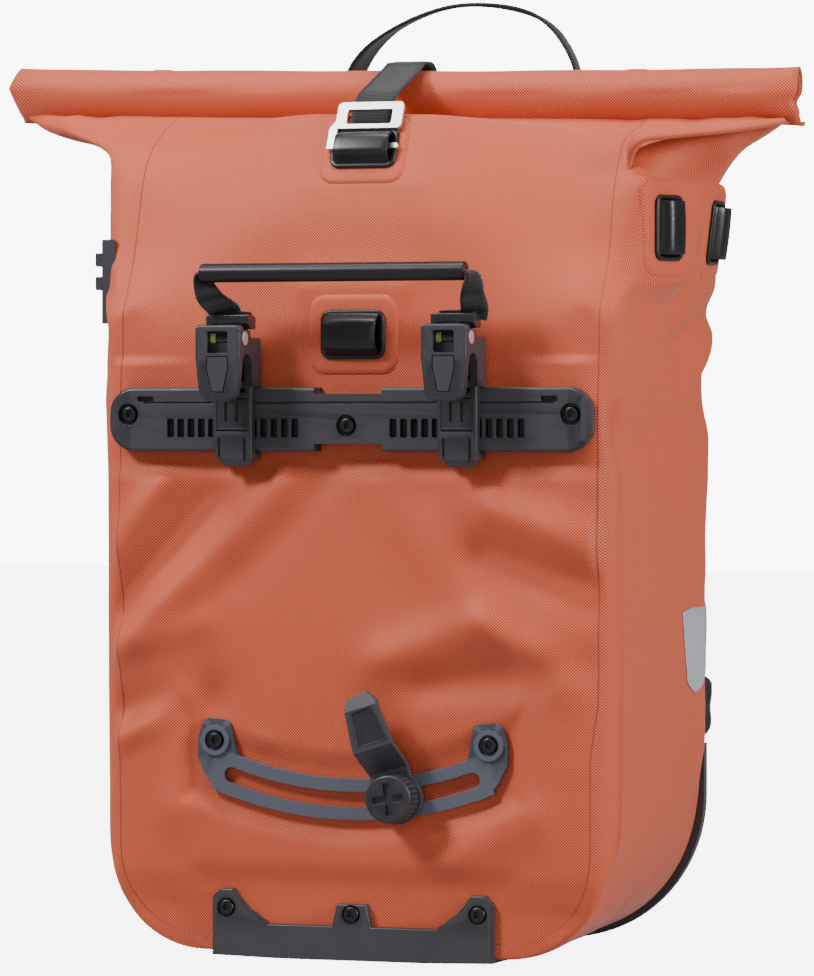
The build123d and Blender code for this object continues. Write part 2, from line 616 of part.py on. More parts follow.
def cushion(outline, y0, y1, radius):
    """A padded slab with its outer rim rounded."""
    slab = front_prism(outline, y0, y1)
    rims = [e for e in slab.edges() if abs(e.center().Y - y1) < 0.01]
    return soften(slab, rims, radius)


def back_pads():
    outline = Pos(64, 215) * RectangleRounded(88, 226, 22)
    pads = mirrored(biggest(cushion(outline, BACK, PAD_BACK, 7)))
    return Compound(children=[pads["left"], pads["right"]])


def harness_yoke():
    outline = Pos(0, 359) * RectangleRounded(160, 50, 10)
    return cushion(outline, BACK, PAD_BACK, 3)


def shoulder_straps():
    """Padded straps from the yoke, arching clear of the back pads."""
    side = make_face(Curve() + [Spline((104.0, 378), (125.5, 340), (132.0, 285), (122, 225), (109, 186)),
                                Line((109, 186), (104.3, 186)),
                                Spline((104.3, 186), (112, 225), (121, 285), (113, 340), (104.0, 366)),
                                Line((104.0, 366), (104.0, 378))])
    shape = make_face(Curve() + [Spline((18, 378), (26, 330), (44, 270), (52, 186)), Line((52, 186), (94, 186)),
                                 Spline((94, 186), (96, 270), (80, 330), (64, 378)), Line((64, 378), (18, 378))])
    strap = biggest(side_prism(side, 0, 150) & front_prism(shape, 90, 150))
    return mirrored(strap)


def ladder_locks():
    lock = block(56, 90, PAD_BACK + 0.3, PAD_BACK + 6, 152, 184)
    for low in (157, 166, 175):
        lock -= block(60, 86, PAD_BACK - 1, PAD_BACK + 8, low, low + 5)
    locks = mirrored(lock)
    return Compound(children=[locks["left"], locks["right"]])


def lower_webbing():
    """Adjusting webbing from each ladder lock down to the rear frame."""
    line = FilletPolyline((PAD_BACK + 1.3, 151.5), (PAD_BACK + 1.3, 96), (BACK + 9.2, 60),
                          (BACK + 9.2, 4.0), radius=6)
    web = biggest(side_prism(trace(line, WEB), 66, 66 + WEB_WIDTH))
    web -= block(60, 100, BACK + 4, BACK + 8.4, 0, 20)
    webs = mirrored(biggest(web))
    return Compound(children=[webs["left"], webs["right"]])


def hip_fins():
    outline = face_of((97, 168), (152, 160), (156, 142), (150, 122), (97, 114))
    fin_pad = cushion(fillet(outline.vertices(), 7), PAD_BACK + 0.5, PAD_BACK + 13, 4)
    return mirrored(biggest(fin_pad))


def hip_webbing():
    """Belt webbing from each hip fin towards the buckle, in front of the lower webbing."""
    y = PAD_BACK + 7
    left = block(-97, -62, y, y + WEB, 129, 129 + WEB_WIDTH)
    right = block(34, 97, y, y + WEB, 129, 129 + WEB_WIDTH)
    return Compound(children=[left, right])


def hip_buckle():
    """A side-release buckle: a socket on the right and a plug with two prongs on the left."""
    y0, y1 = PAD_BACK + 2, PAD_BACK + 14
    socket = block(2, 34, y0, y1, 122, 161)
    socket = soften(socket, socket.edges().filter_by(Axis.Z), 3)
    socket -= block(1, 26, y0 + 2.5, y1 - 2.5, 126, 157)
    for z in (122, 161):
        socket -= block(8, 20, y0 - 1, y1 + 1, z - 2.2, z + 2.2)
    plug = block(-24, 1.5, y0, y1, 124, 159)
    plug = soften(plug, plug.edges().filter_by(Axis.Z), 3)
    for z in (128, 150):
        plug += block(0, 24, y0 + 3, y1 - 3, z, z + 5)
    plug += block(0, 22, y0 + 3, y1 - 3, 139.5, 143.5)
    plug -= block(-20, -15, y0 - 1, y1 + 1, 128, 155)
    return {"hip_buckle_socket": socket, "hip_buckle_plug": plug}


def grab_handle():
    """An upright loop of webbing behind the roll, standing on the yoke."""
    y0, y1 = PAD_BACK + 0.5, PAD_BACK + 16.5
    low, crown = 384.3, 572.0
    outer = make_face(Curve() + [Line((-73, low), (-73, 500)),
                                 Spline((-73, 500), (-58, 548), (0, crown), (58, 548), (73, 500)),
                                 Line((73, 500), (73, low)), Line((73, low), (-73, low))])
    inner = make_face(Curve() + [Line((-70, low - 1), (-70, 500)),
                                 Spline((-70, 500), (-55, 546), (0, crown - 3), (55, 546), (70, 500)),
                                 Line((70, 500), (70, low - 1)), Line((70, low - 1), (-70, low - 1))])
    return biggest(front_prism(outer - inner, y0, y1))


def harness():
    made = {"back_pads": back_pads(), "harness_yoke": harness_yoke(), "ladder_locks": ladder_locks(),
            "lower_webbing": lower_webbing(), "hip_webbing": hip_webbing(), "grab_handle": grab_handle()}
    made.update(hip_buckle())
    for side, strap in shoulder_straps().items():
        made["shoulder_strap_" + side] = strap
    for side, pad in hip_fins().items():
        made["hip_fin_" + side] = pad
    return made


def main():
    parts = {"hook_rail": hook_rail(), "swing_track": swing_track(), "fin_slider": fin_slider(), "fin": fin(),
             "fin_knob": fin_knob(), "base_guard": base_guard(), "rear_edge_frame": rear_edge_frame(),
             "centre_loop": centre_loop(), "closure_loop": closure_loop(), "reflectors": reflectors(),
             "side_buckle": side_buckle(), "closure_buckle": closure_buckle(), "closure_strap": closure_strap()}
    for group in (body_panels(), neck_panels(), roll(), boards(), side_loops(), hooks(), grip(), all_screws(),
                  harness()):
        parts.update(group)
    os.makedirs("parts", exist_ok=True)
    for name, shape in parts.items():
        export_step(shape, "parts/" + name + ".step")
    print(len(parts), "sub-parts")


main()
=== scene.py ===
"""The visual model of a roll-top pannier bag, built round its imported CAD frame. Metres, Z up."""
import json
import math
import random

import bpy
import numpy as np
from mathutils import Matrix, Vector
from mathutils.bvhtree import BVHTree


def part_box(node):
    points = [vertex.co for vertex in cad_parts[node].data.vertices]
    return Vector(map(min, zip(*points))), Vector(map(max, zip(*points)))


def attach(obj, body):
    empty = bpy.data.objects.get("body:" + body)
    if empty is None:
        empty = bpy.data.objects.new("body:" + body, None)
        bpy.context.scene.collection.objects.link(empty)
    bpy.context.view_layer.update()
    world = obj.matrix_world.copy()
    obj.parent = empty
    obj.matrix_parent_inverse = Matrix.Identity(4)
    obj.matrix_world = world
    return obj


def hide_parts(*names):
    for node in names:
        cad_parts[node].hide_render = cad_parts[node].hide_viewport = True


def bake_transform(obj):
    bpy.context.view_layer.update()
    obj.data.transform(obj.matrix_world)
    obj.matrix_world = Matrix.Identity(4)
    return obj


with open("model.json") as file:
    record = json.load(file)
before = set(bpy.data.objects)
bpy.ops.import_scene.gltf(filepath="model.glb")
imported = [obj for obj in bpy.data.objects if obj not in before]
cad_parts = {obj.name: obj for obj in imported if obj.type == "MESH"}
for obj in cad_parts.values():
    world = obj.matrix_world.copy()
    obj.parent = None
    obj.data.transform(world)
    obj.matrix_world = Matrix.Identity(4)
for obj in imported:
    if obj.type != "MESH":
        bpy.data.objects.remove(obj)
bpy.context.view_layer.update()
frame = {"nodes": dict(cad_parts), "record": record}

# sizes taken from the frame ----------------------------------------------------------------

panel_low, panel_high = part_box("front_panel")
roll_low, roll_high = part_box("roll_closure")
FRONT_Y = panel_low.y
BACK_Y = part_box("rear_panel")[1].y
HALF = panel_high.x
FLOOR = panel_low.z
SHOULDER = panel_high.z
ROLL_HALF = roll_high.x
ROLL_R = (roll_high.z - roll_low.z) / 2
ROLL_Y = (roll_high.y + roll_low.y) / 2
ROLL_Z = (roll_high.z + roll_low.z) / 2

# design values that the frame does not state
CORNER_FRONT = 0.058
CORNER_REAR = 0.086
CLOTH_TOP = 0.540          # height of the mouth before it is folded
SEAM_INSET = 0.009         # from a panel's edge to its welded seam
WEAVE = 0.0017             # pitch of the fabric's weave
WEB_THICK = 0.0016
WEB_HALF = 0.0122          # half the width of the harness's webbing
ARC_MIDDLE = 0.320         # height of the point that the swing track curves round
ARC_RADIUS = 0.226
PRESSURE = 6.0             # how hard the filled bag pushes on its cloth
MOUTH_SHARE = 0.985        # the shut mouth's width as a share of the roll's
MOUTH_DROP = 0.0115        # how far the shut mouth lies under the roll's axis
LEVEL = 1e-4               # two places closer than this count as the same
TUCK_LENGTH = 0.085        # how far down each side's middle line the inward fold reaches
BEAK_LENGTH = 0.075        # how far down the front seam the fold's lower edge starts
FOLD_RIGHT = ((0.157, -0.062, 0.474), (0.192, 0.010, 0.442))
FOLD_LEFT = ((-0.166, -0.058, 0.476), (-0.168, 0.004, 0.468))
ROLL_SHIFT = -0.008        # the mouth was not rolled up quite straight, so one end creeps out
ROLL_STRETCH = 1.028       # the roll's length as a share of the CAD roll's
ROOT = "root"


# camera and light --------------------------------------------------------------------------

def add_camera():
    """A long lens at the rack side's right, level with the rail."""
    turn = math.radians(20)
    away, aside, height = 3.26, 0.0309, 0.315
    data = bpy.data.cameras.new("camera")
    data.lens = 206.6
    data.sensor_width = 36.0
    camera = bpy.data.objects.new("camera", data)
    x = away * math.sin(turn) + aside * math.cos(turn)
    y = FRONT_Y - away * math.cos(turn) + aside * math.sin(turn)
    camera.location = (x, y, height)
    camera.rotation_euler = (math.radians(90 - 0.70), 0, turn)
    bpy.context.collection.objects.link(camera)
    bpy.context.scene.camera = camera


def add_light(name, place, target, size, power):
    data = bpy.data.lights.new(name, "AREA")
    data.shape = "RECTANGLE"
    data.size, data.size_y = size
    data.energy = power
    light = bpy.data.objects.new(name, data)
    light.location = place
    light.rotation_euler = (Vector(target) - Vector(place)).to_track_quat("-Z", "Y").to_euler()
    bpy.context.collection.objects.link(light)


def add_studio():
    """A white surround, bright to the camera and dim as a light, with four area lights."""
    world = bpy.data.worlds.new("studio")
    world.use_nodes = True
    tree = world.node_tree
    background = tree.nodes["Background"]
    background.inputs["Color"].default_value = (1.0, 1.0, 1.0, 1)
    path = tree.nodes.new("ShaderNodeLightPath")
    strength = tree.nodes.new("ShaderNodeMapRange")
    tree.links.new(path.outputs["Is Camera Ray"], strength.inputs["Value"])
    lighting, seen = 0.20, 9.0
    strength.inputs["To Min"].default_value = lighting
    strength.inputs["To Max"].default_value = seen
    tree.links.new(strength.outputs["Result"], background.inputs["Strength"])
    bpy.context.scene.world = world
    add_light("key", (-1.5, -1.6, 2.1), (0, 0, 0.30), (0.6, 0.6), 84)
    add_light("top", (-0.2, -0.4, 2.4), (0, 0, 0.4), (1.0, 0.7), 30)
    add_light("side", (2.5, -0.5, 1.1), (0.1, 0, 0.34), (0.6, 1.4), 70)
    add_light("front", (0.4, -3.2, 0.7), (0, 0, 0.3), (1.2, 1.2), 9)


def add_floor():
    """A pale floor that lets most of the backdrop through, so it only takes a soft shadow."""
    floor = bpy.data.meshes.new("floor")
    size, low = 8.0, -0.0005
    corners = [(-size, -size, low), (size, -size, low), (size, size, low), (-size, size, low)]
    floor.from_pydata(corners, [], [(0, 1, 2, 3)])
    plane = bpy.data.objects.new("floor", floor)
    bpy.context.collection.objects.link(plane)
    pale = flat_material("studio_floor", (0.93, 0.93, 0.93), 0.8)
    tree = pale.node_tree
    clear = tree.nodes.new("ShaderNodeBsdfTransparent")
    mixed = tree.nodes.new("ShaderNodeMixShader")
    clear_share = 0.72
    mixed.inputs[0].default_value = clear_share
    tree.links.new(tree.nodes["Principled BSDF"].outputs[0], mixed.inputs[1])
    tree.links.new(clear.outputs[0], mixed.inputs[2])
    tree.links.new(mixed.outputs[0], tree.nodes["Material Output"].inputs["Surface"])
    paint(plane, pale)


# material helpers --------------------------------------------------------------------------

class Nodes:
    """A short way to write a node tree."""

    def __init__(self, name):
        self.material = bpy.data.materials.new(name)
        self.material.use_nodes = True
        self.tree = self.material.node_tree
        self.shader = self.tree.nodes["Principled BSDF"]

    def add(self, kind, **values):
        node = self.tree.nodes.new(kind)
        for key, value in values.items():
            if hasattr(node, key):
                setattr(node, key, value)
            else:
                node.inputs[key.replace("_", " ")].default_value = value
        return node

    def link(self, out, into):
        self.tree.links.new(out, into)

    def math(self, operation, a, b=0.0, c=0.0):
        """The result of a sum on numbers or outputs of other nodes."""
        node = self.tree.nodes.new("ShaderNodeMath")
        node.operation = operation
        for socket, value in zip(node.inputs, (a, b, c)):
            if isinstance(value, (int, float)):
                socket.default_value = value
            else:
                self.link(value, socket)
        return node.outputs[0]

    def mix(self, factor, a, b):
        """Colour a turning into colour b as the factor goes from 0 to 1."""
        node = self.tree.nodes.new("ShaderNodeMix")
        node.data_type = "RGBA"
        for socket, value in ((node.inputs[0], factor), (node.inputs[6], a), (node.inputs[7], b)):
            if isinstance(value, tuple):
                socket.default_value = value + (1.0,)
            else:
                self.link(value, socket)
        return node.outputs[2]

    def noise(self, vector, scale, detail):
        node = self.add("ShaderNodeTexNoise", Scale=scale, Detail=detail)
        self.link(vector, node.inputs["Vector"])
        return node.outputs["Fac"]

    def position(self):
        return self.add("ShaderNodeTexCoord").outputs["Object"]

    def uv(self, name):
        node = self.add("ShaderNodeUVMap", uv_map=name)
        split = self.add("ShaderNodeSeparateXYZ")
        self.link(node.outputs["UV"], split.inputs[0])
        return split.outputs["X"], split.outputs["Y"]

    def range(self, value, low, high, to_low, to_high):
        """Maps low..high onto to_low..to_high."""
        node = self.add("ShaderNodeMapRange")
        self.link(value, node.inputs["Value"])
        for key, number in (("From Min", low), ("From Max", high), ("To Min", to_low), ("To Max", to_high)):
            node.inputs[key].default_value = number
        return node.outputs["Result"]

    def bump(self, height, distance, strength, rounded=0.0):
        node = self.add("ShaderNodeBump", Distance=distance, Strength=strength)
        self.link(height, node.inputs["Height"])
        if rounded:
            bevel = self.add("ShaderNodeBevel", samples=4, Radius=rounded)
            self.link(bevel.outputs[0], node.inputs["Normal"])
        self.link(node.outputs[0], self.shader.inputs["Normal"])

    def set(self, **values):
        for key, value in values.items():
            socket = self.shader.inputs[key.replace("_", " ")]
            if isinstance(value, (int, float)):
                socket.default_value = value
            elif isinstance(value, tuple):
                socket.default_value = value + (1.0,)
            else:
                self.link(value, socket)


def flat_material(name, colour, roughness):
    nodes = Nodes(name)
    nodes.set(Base_Color=colour, Roughness=roughness)
    return nodes.material


def weave_height(n, u, v, pitch):
    """Over-and-under bumps of a plain weave, 0 to 1."""
    a = n.math("SINE", n.math("MULTIPLY", u, 2 * math.pi / pitch))
    b = n.math("SINE", n.math("MULTIPLY", v, 2 * math.pi / pitch))
    return n.math("MULTIPLY_ADD", n.math("MULTIPLY", a, b), 0.5, 0.5)


def fabric_material(name, base, dark, light, seams=True):
    """Coated woven fabric: a fine weave, soft patches of tone and, on the bag, welded seam lines."""
    n = Nodes(name)
    u, v = n.uv("cloth")
    place = n.position()
    weave = weave_height(n, u, v, WEAVE)
    fibre = n.noise(place, 900.0, 2.0)
    cloud = n.noise(place, 9.0, 4.0)
    height = n.math("ADD", n.math("MULTIPLY", weave, 0.8), n.math("MULTIPLY", fibre, 0.35))
    tone = n.mix(n.range(weave, 0.20, 0.80, 0.0, 1.0), dark, light)
    tone = n.mix(n.range(cloud, 0.3, 0.7, 0.04, 0.24), tone, base)
    if seams:
        edge, flag = n.uv("seam")
        near = n.math("ABSOLUTE", n.math("SUBTRACT", edge, SEAM_INSET))
        line = n.math("MULTIPLY", n.range(near, 0.0, 0.0007, 1.0, 0.0), flag)
        tone = n.mix(n.math("MULTIPLY", line, 0.55), tone, tuple(c * 0.5 for c in dark))
        step = n.math("MULTIPLY", n.range(edge, SEAM_INSET - 0.0004, SEAM_INSET + 0.0004, 1.0, 0.0), flag)
        height = n.math("ADD", height, n.math("MULTIPLY", step, 1.6))
    n.set(Base_Color=tone, Roughness=n.range(fibre, 0.3, 0.7, 0.50, 0.62), Sheen_Weight=0.12,
          Sheen_Roughness=0.5, Specular_IOR_Level=0.35)
    n.bump(height, 0.00022, 0.9)
    return n.material


def webbing_material(name, colour, light):
    """Ribbed webbing: rows across the strap and a fine zigzag along them."""
    n = Nodes(name)
    u, v = n.uv("cloth")
    rows = n.math("SINE", n.math("MULTIPLY", u, 2 * math.pi / 0.0017))
    zigzag = n.math("SINE", n.math("MULTIPLY", n.math("ADD", v, n.math("MULTIPLY", rows, 0.0005)),
                                   2 * math.pi / 0.0015))
    height = n.math("MULTIPLY_ADD", n.math("ADD", rows, zigzag), 0.25, 0.5)
    fibre = n.noise(n.position(), 1400.0, 2.0)
    tone = n.mix(n.math("MULTIPLY", height, n.range(fibre, 0.3, 0.7, 0.5, 1.0)), colour, light)
    n.set(Base_Color=tone, Roughness=0.82, Sheen_Weight=0.25, Sheen_Roughness=0.4)
    n.bump(height, 0.00035, 0.9)
    return n.material


def moulded_material(name, colour, light, roughness, grain=2200.0, rounded=0.0004, coat=0.0):
    """Moulded plastic or rubber: fine grain, slightly lighter edges that are a painted highlight, and
    softened corners.
    """
    n = Nodes(name)
    place = n.position()
    fine = n.noise(place, grain, 2.0)
    broad = n.noise(place, 60.0, 3.0)
    geometry = n.add("ShaderNodeNewGeometry")
    # painted highlight: convex edges, found by their pointiness, are picked out to be painted lighter
    painted_edge_highlight = n.range(geometry.outputs["Pointiness"], 0.505, 0.56, 0.0, 0.6)
    tone = n.mix(n.range(broad, 0.3, 0.7, 0.0, 0.5), colour, light)
    # the painted edge highlight: convex edges take a colour 1.7 times the light tone
    tone = n.mix(painted_edge_highlight, tone, tuple(min(1.0, c * 1.7) for c in light))
    n.set(Base_Color=tone, Roughness=n.range(fine, 0.3, 0.7, roughness - 0.05, roughness + 0.07),
          Specular_IOR_Level=0.38, Coat_Weight=coat, Coat_Roughness=0.2)
    n.bump(fine, 0.00005, 0.7, rounded)
    return n.material


def metal_material(name, colour, roughness, grain=400.0):
    """Bare or coated metal with a fine, slightly uneven gloss."""
    n = Nodes(name)
    fine = n.noise(n.position(), grain, 4.0)
    n.set(Base_Color=colour, Metallic=1.0, Roughness=n.range(fine, 0.3, 0.7, roughness, roughness + 0.15))
    n.bump(fine, 0.00003, 0.5, 0.0004)
    return n.material


def film_material(name):
    """Reflective film: a fine grid of cells under a glossy skin."""
    n = Nodes(name)
    u, v = n.uv("cloth")
    cells = weave_height(n, u, v, 0.0022)
    broad = n.noise(n.position(), 40.0, 2.0)
    tone = n.mix(cells, (0.42, 0.42, 0.47), (0.55, 0.55, 0.60))
    tone = n.mix(n.range(broad, 0.35, 0.65, 0.0, 0.25), tone, (0.33, 0.33, 0.38))
    n.set(Base_Color=tone, Roughness=0.38, Metallic=0.25, Coat_Weight=0.4, Coat_Roughness=0.15)
    n.bump(cells, 0.00006, 0.6)
    return n.material


def mesh_pad_material(name):
    """Black spacer mesh over foam: small open cells."""
    n = Nodes(name)
    u, v = n.uv("cloth")
    row = n.math("SINE", n.math("MULTIPLY", v, 2 * math.pi / 0.0032))
    shifted = n.math("ADD", u, n.math("MULTIPLY", n.math("SIGN", row), 0.0008))
    hole = n.math("MULTIPLY", n.math("SINE", n.math("MULTIPLY", shifted, 2 * math.pi / 0.0032)), row)
    cell = n.range(hole, 0.25, 0.6, 0.0, 1.0)
    tone = n.mix(cell, (0.020, 0.0205, 0.023), (0.003, 0.003, 0.0035))
    n.set(Base_Color=tone, Roughness=0.85, Sheen_Weight=0.2)
    n.bump(n.math("SUBTRACT", 1.0, cell), 0.0006, 0.8)
    return n.material


def make_materials():
    orange = ((0.560, 0.058, 0.018), (0.120, 0.007, 0.002), (0.940, 0.162, 0.060))
    return {
        "fabric": fabric_material("coated_fabric", *orange),
        "fabric_plain": fabric_material("coated_fabric_plain", *orange, seams=False),
        "webbing": webbing_material("webbing", (0.0025, 0.0025, 0.003), (0.0105, 0.0105, 0.012)),
        "plastic": moulded_material("black_plastic", (0.0185, 0.0180, 0.0225), (0.0340, 0.0330, 0.0400),
                                    0.36),
        "slate": moulded_material("slate_plastic", (0.040, 0.043, 0.058), (0.066, 0.070, 0.092), 0.40),
        "gloss": moulded_material("lever_plastic", (0.010, 0.010, 0.0115), (0.018, 0.018, 0.021), 0.24,
                                  coat=0.3),
        "rubber": moulded_material("black_rubber", (0.005, 0.005, 0.006), (0.011, 0.0115, 0.014), 0.33,
                                   grain=900.0, rounded=0.0008),
        "screw": metal_material("black_screws", (0.045, 0.045, 0.048), 0.30),
        "bright": metal_material("bright_pins", (0.95, 0.95, 0.96), 0.38),
        "aluminium": metal_material("bright_aluminium", (0.90, 0.90, 0.91), 0.26, 1500.0),
        "spring": moulded_material("spring_ring", (0.40, 0.46, 0.10), (0.52, 0.58, 0.16), 0.35),
        "board": moulded_material("stiff_board", (0.06, 0.06, 0.065), (0.09, 0.09, 0.10), 0.5),
        "film": film_material("reflective_panel"),
        "pad": mesh_pad_material("padding"),
    }


def paint(obj, material):
    obj.data.materials.clear()
    obj.data.materials.append(material)


def paint_frame(materials):
    """Gives every CAD node the finish of its slot."""
    finish = {"coated_fabric": "fabric_plain", "webbing": "webbing", "padding": "pad",
              "black_rubber": "rubber", "stiff_board": "board", "black_plastic": "plastic",
              "slate_plastic": "slate", "lever_plastic": "gloss", "black_screws": "screw",
              "bright_pins": "bright", "spring_ring": "spring", "bright_aluminium": "aluminium",
              "reflective_panel": "film"}
    slots = {part["node"]: part["material_slot"] for part in frame["record"]["subparts"]}
    for node, obj in frame["nodes"].items():
        for slot in obj.material_slots:
            slot.material = materials[finish[slots[node]]]


# mesh helpers ------------------------------------------------------------------------------

def new_piece(name, points, faces, uvs=None, material=None, smooth=True):
    """A mesh object; uvs maps a layer's name to one (u, v) for each corner of each face."""
    mesh = bpy.data.meshes.new(name)
    mesh.from_pydata([tuple(p) for p in points], [], faces)
    for layer_name, values in (uvs or {}).items():
        layer = mesh.uv_layers.new(name=layer_name)
        layer.data.foreach_set("uv", np.asarray(values, np.float32).ravel())
    mesh.validate()
    obj = bpy.data.objects.new(name, mesh)
    bpy.context.collection.objects.link(obj)
    if smooth:
        mesh.polygons.foreach_set("use_smooth", [True] * len(mesh.polygons))
    if material:
        paint(obj, material)
    return obj


def apply_modifiers(obj):
    """Replaces the mesh by what its modifiers make of it."""
    graph = bpy.context.evaluated_depsgraph_get()
    made = bpy.data.meshes.new_from_object(obj.evaluated_get(graph), preserve_all_data_layers=True,
                                           depsgraph=graph)
    obj.modifiers.clear()
    obj.data = made


def subdivide(obj, levels):
    modifier = obj.modifiers.new("smooth", "SUBSURF")
    modifier.levels = modifier.render_levels = levels
    apply_modifiers(obj)


def bevel_edges(obj, width):
    modifier = obj.modifiers.new("bevel", "BEVEL")
    modifier.width = width
    modifier.segments = 2
    modifier.limit_method = "ANGLE"
    modifier.angle_limit = math.radians(40)
    apply_modifiers(obj)


def coordinates(obj):
    values = np.zeros(len(obj.data.vertices) * 3)
    obj.data.vertices.foreach_get("co", values)
    return values.reshape(-1, 3)


def set_coordinates(obj, values):
    obj.data.vertices.foreach_set("co", np.asarray(values, float).ravel())
    obj.data.update()


def rises(value, start, length):
    """0 up to the start, then rising to 1 over the length."""
    return np.clip((value - start) / length, 0, 1)


def falls(value, end, length):
    """1 until a length before the end, then falling to 0 at the end."""
    return np.clip((end - value) / length, 0, 1)


def ring_faces(rings, count, closed=False):
    """Quads between each ring of count points and the next; closed also joins the last to the first."""
    faces = []
    for k in range(rings if closed else rings - 1):
        after = (k + 1) % rings
        for i in range(count):
            j = (i + 1) % count
            faces.append((k * count + i, k * count + j, after * count + j, after * count + i))
    return faces


def rounded_rectangle(half_a, half_b, radius, count=6):
    """An outline with count steps round each corner, anticlockwise from the first corner's start."""
    outline = []
    for sign_a, sign_b, start in ((1, 1, 0), (-1, 1, 90), (-1, -1, 180), (1, -1, 270)):
        for i in range(count + 1):
            angle = math.radians(start + 90 * i / count)
            outline.append((sign_a * (half_a - radius) + radius * math.cos(angle),
                            sign_b * (half_b - radius) + radius * math.sin(angle)))
    return outline


def declare(piece, slot, body, *nodes):
    """Attaches a piece to the body it moves with and hides the CAD nodes it stands for; the slot, what the
    piece is made of, is not used.
    """
    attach(piece, body)
    if nodes:
        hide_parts(*nodes)


# the fabric shell --------------------------------------------------------------------------

# faces across the front or rear, across a side, up a lower corner's arc, and up the whole wall
COLUMNS, SIDES, ARC_ROWS, ROWS = 36, 20, 7, 54
GIRTH = 2 * (COLUMNS + SIDES)


def corner_radius(y):
    share = (y - FRONT_Y) / (BACK_Y - FRONT_Y)
    return CORNER_FRONT + (CORNER_REAR - CORNER_FRONT) * share


def ring_point(column, row):
    """One point of the flat-walled bag before it is folded: column round the girth, row up the wall."""
    if column < COLUMNS:
        share, y = -1 + 2 * column / COLUMNS, FRONT_Y
    elif column < COLUMNS + SIDES:
        share, y = 1.0, FRONT_Y + (BACK_Y - FRONT_Y) * (column - COLUMNS) / SIDES
    elif column < 2 * COLUMNS + SIDES:
        share, y = 1 - 2 * (column - COLUMNS - SIDES) / COLUMNS, BACK_Y
    else:
        share, y = -1.0, BACK_Y + (FRONT_Y - BACK_Y) * (column - 2 * COLUMNS - SIDES) / SIDES
    radius = corner_radius(y)
    if row <= ARC_ROWS:
        angle = math.pi / 2 * row / ARC_ROWS
        reach = HALF - radius + radius * math.sin(angle)
        z = FLOOR + radius - radius * math.cos(angle)
    else:
        reach = HALF
        z = FLOOR + radius + (CLOTH_TOP - FLOOR - radius) * (row - ARC_ROWS) / (ROWS - ARC_ROWS)
    return Vector((share * reach, y, z))


def outline_distance(x, y, z):
    """How far a point of the front or rear panel is from the panel's edge."""
    radius = corner_radius(y)
    middle_x, middle_z = HALF - radius, FLOOR + radius
    if abs(x) > middle_x and z < middle_z:
        return radius - math.hypot(abs(x) - middle_x, z - middle_z)
    return min(HALF - abs(x), z - FLOOR)


def shell_uv(points, panel):
    """Flat-cloth coordinates and distance from the seam, for the corners of one face."""
    cloth, seam = [], []
    for p in points:
        if panel in ("front", "rear"):
            cloth.append((p.x, p.z))
            seam.append((outline_distance(p.x, p.y, p.z), 1.0))
        elif panel == "side":
            cloth.append((p.y, p.z))
            seam.append((0.5, 0.0))
        else:
            cloth.append((p.y, p.x))
            seam.append((0.5, 0.0))
    return cloth, seam


def flat_shell():
    """The bag as it is sewn: straight walls, rounded lower corners and an open mouth."""
    points = [ring_point(c, r) for r in range(ROWS + 1) for c in range(GIRTH)]
    faces, cloth, seam = [], [], []

    def add(face, panel):
        faces.append(face)
        a, b = shell_uv([points[i] for i in face], panel)
        cloth.extend(a)
        seam.extend(b)

    panels = ["front"] * COLUMNS + ["side"] * SIDES + ["rear"] * COLUMNS + ["side"] * SIDES
    for number, face in enumerate(ring_faces(ROWS + 1, GIRTH)):
        add(face, panels[number % GIRTH])
    inner = {}
    for i in range(COLUMNS + 1):
        for j in range(SIDES + 1):
            if j == 0:
                inner[i, j] = i
            elif j == SIDES:
                inner[i, j] = COLUMNS + SIDES + (COLUMNS - i)
            elif i == COLUMNS:
                inner[i, j] = COLUMNS + j
            elif i == 0:
                inner[i, j] = (2 * COLUMNS + SIDES + (SIDES - j)) % GIRTH
            else:
                front, rear = points[i], points[COLUMNS + SIDES + (COLUMNS - i)]
                inner[i, j] = len(points)
                points.append(front.lerp(rear, j / SIDES))
    for i in range(COLUMNS):
        for j in range(SIDES):
            add((inner[i, j], inner[i, j + 1], inner[i + 1, j + 1], inner[i + 1, j]), "base")
    return new_piece("bag_shell", points, faces, {"cloth": cloth, "seam": seam})


def mouth_line(column):
    """Where a point of the mouth goes when the bag is shut: along a line just under the roll."""
    half_turn, half_gap = GIRTH / 2, 0.0012
    along = (column - COLUMNS / 2 + half_turn / 2) % GIRTH
    if along <= half_turn:
        x = -ROLL_HALF + 2 * ROLL_HALF * along / half_turn
        y = ROLL_Y - half_gap
    else:
        x = ROLL_HALF - 2 * ROLL_HALF * (along - half_turn) / half_turn
        y = ROLL_Y + half_gap
    return Vector((x * MOUTH_SHARE, y, ROLL_Z - MOUTH_DROP))


def held_amount(p):
    """How firmly the boards, welds and fittings hold the cloth at a point of the flat bag, 0 to 1."""
    board_half, track_half = 0.118, 0.016
    edge = outline_distance(p.x, p.y, p.z)
    if p.y <= FRONT_Y + LEVEL:
        for node, margin in (("hook_rail", 0.001), ("swing_track", -0.002), ("base_guard", 0.004)):
            low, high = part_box(node)
            if low.x - margin <= p.x <= high.x + margin and low.z - margin <= p.z <= high.z + margin:
                off_track = abs(math.hypot(p.x, p.z - ARC_MIDDLE) - ARC_RADIUS)
                if node != "swing_track" or off_track < track_half:
                    return 1.0
        if abs(p.x) < board_half and 0.06 < p.z < SHOULDER - 0.02:
            return 0.10
        return 0.22 if p.z < SHOULDER - 0.03 and edge < 0.006 else 0.0
    if p.y >= BACK_Y - LEVEL:
        if abs(p.x) < board_half and p.z < SHOULDER - 0.005:
            return 1.0
        if p.z < 0.11 and edge < 0.015:
            return 1.0
        return 0.15 if p.z < SHOULDER - 0.06 and edge < 0.006 else 0.0
    if p.z < FLOOR + LEVEL and p.y > FRONT_Y + 0.04 and abs(p.x) < 0.05:
        return 0.3
    return 0.0


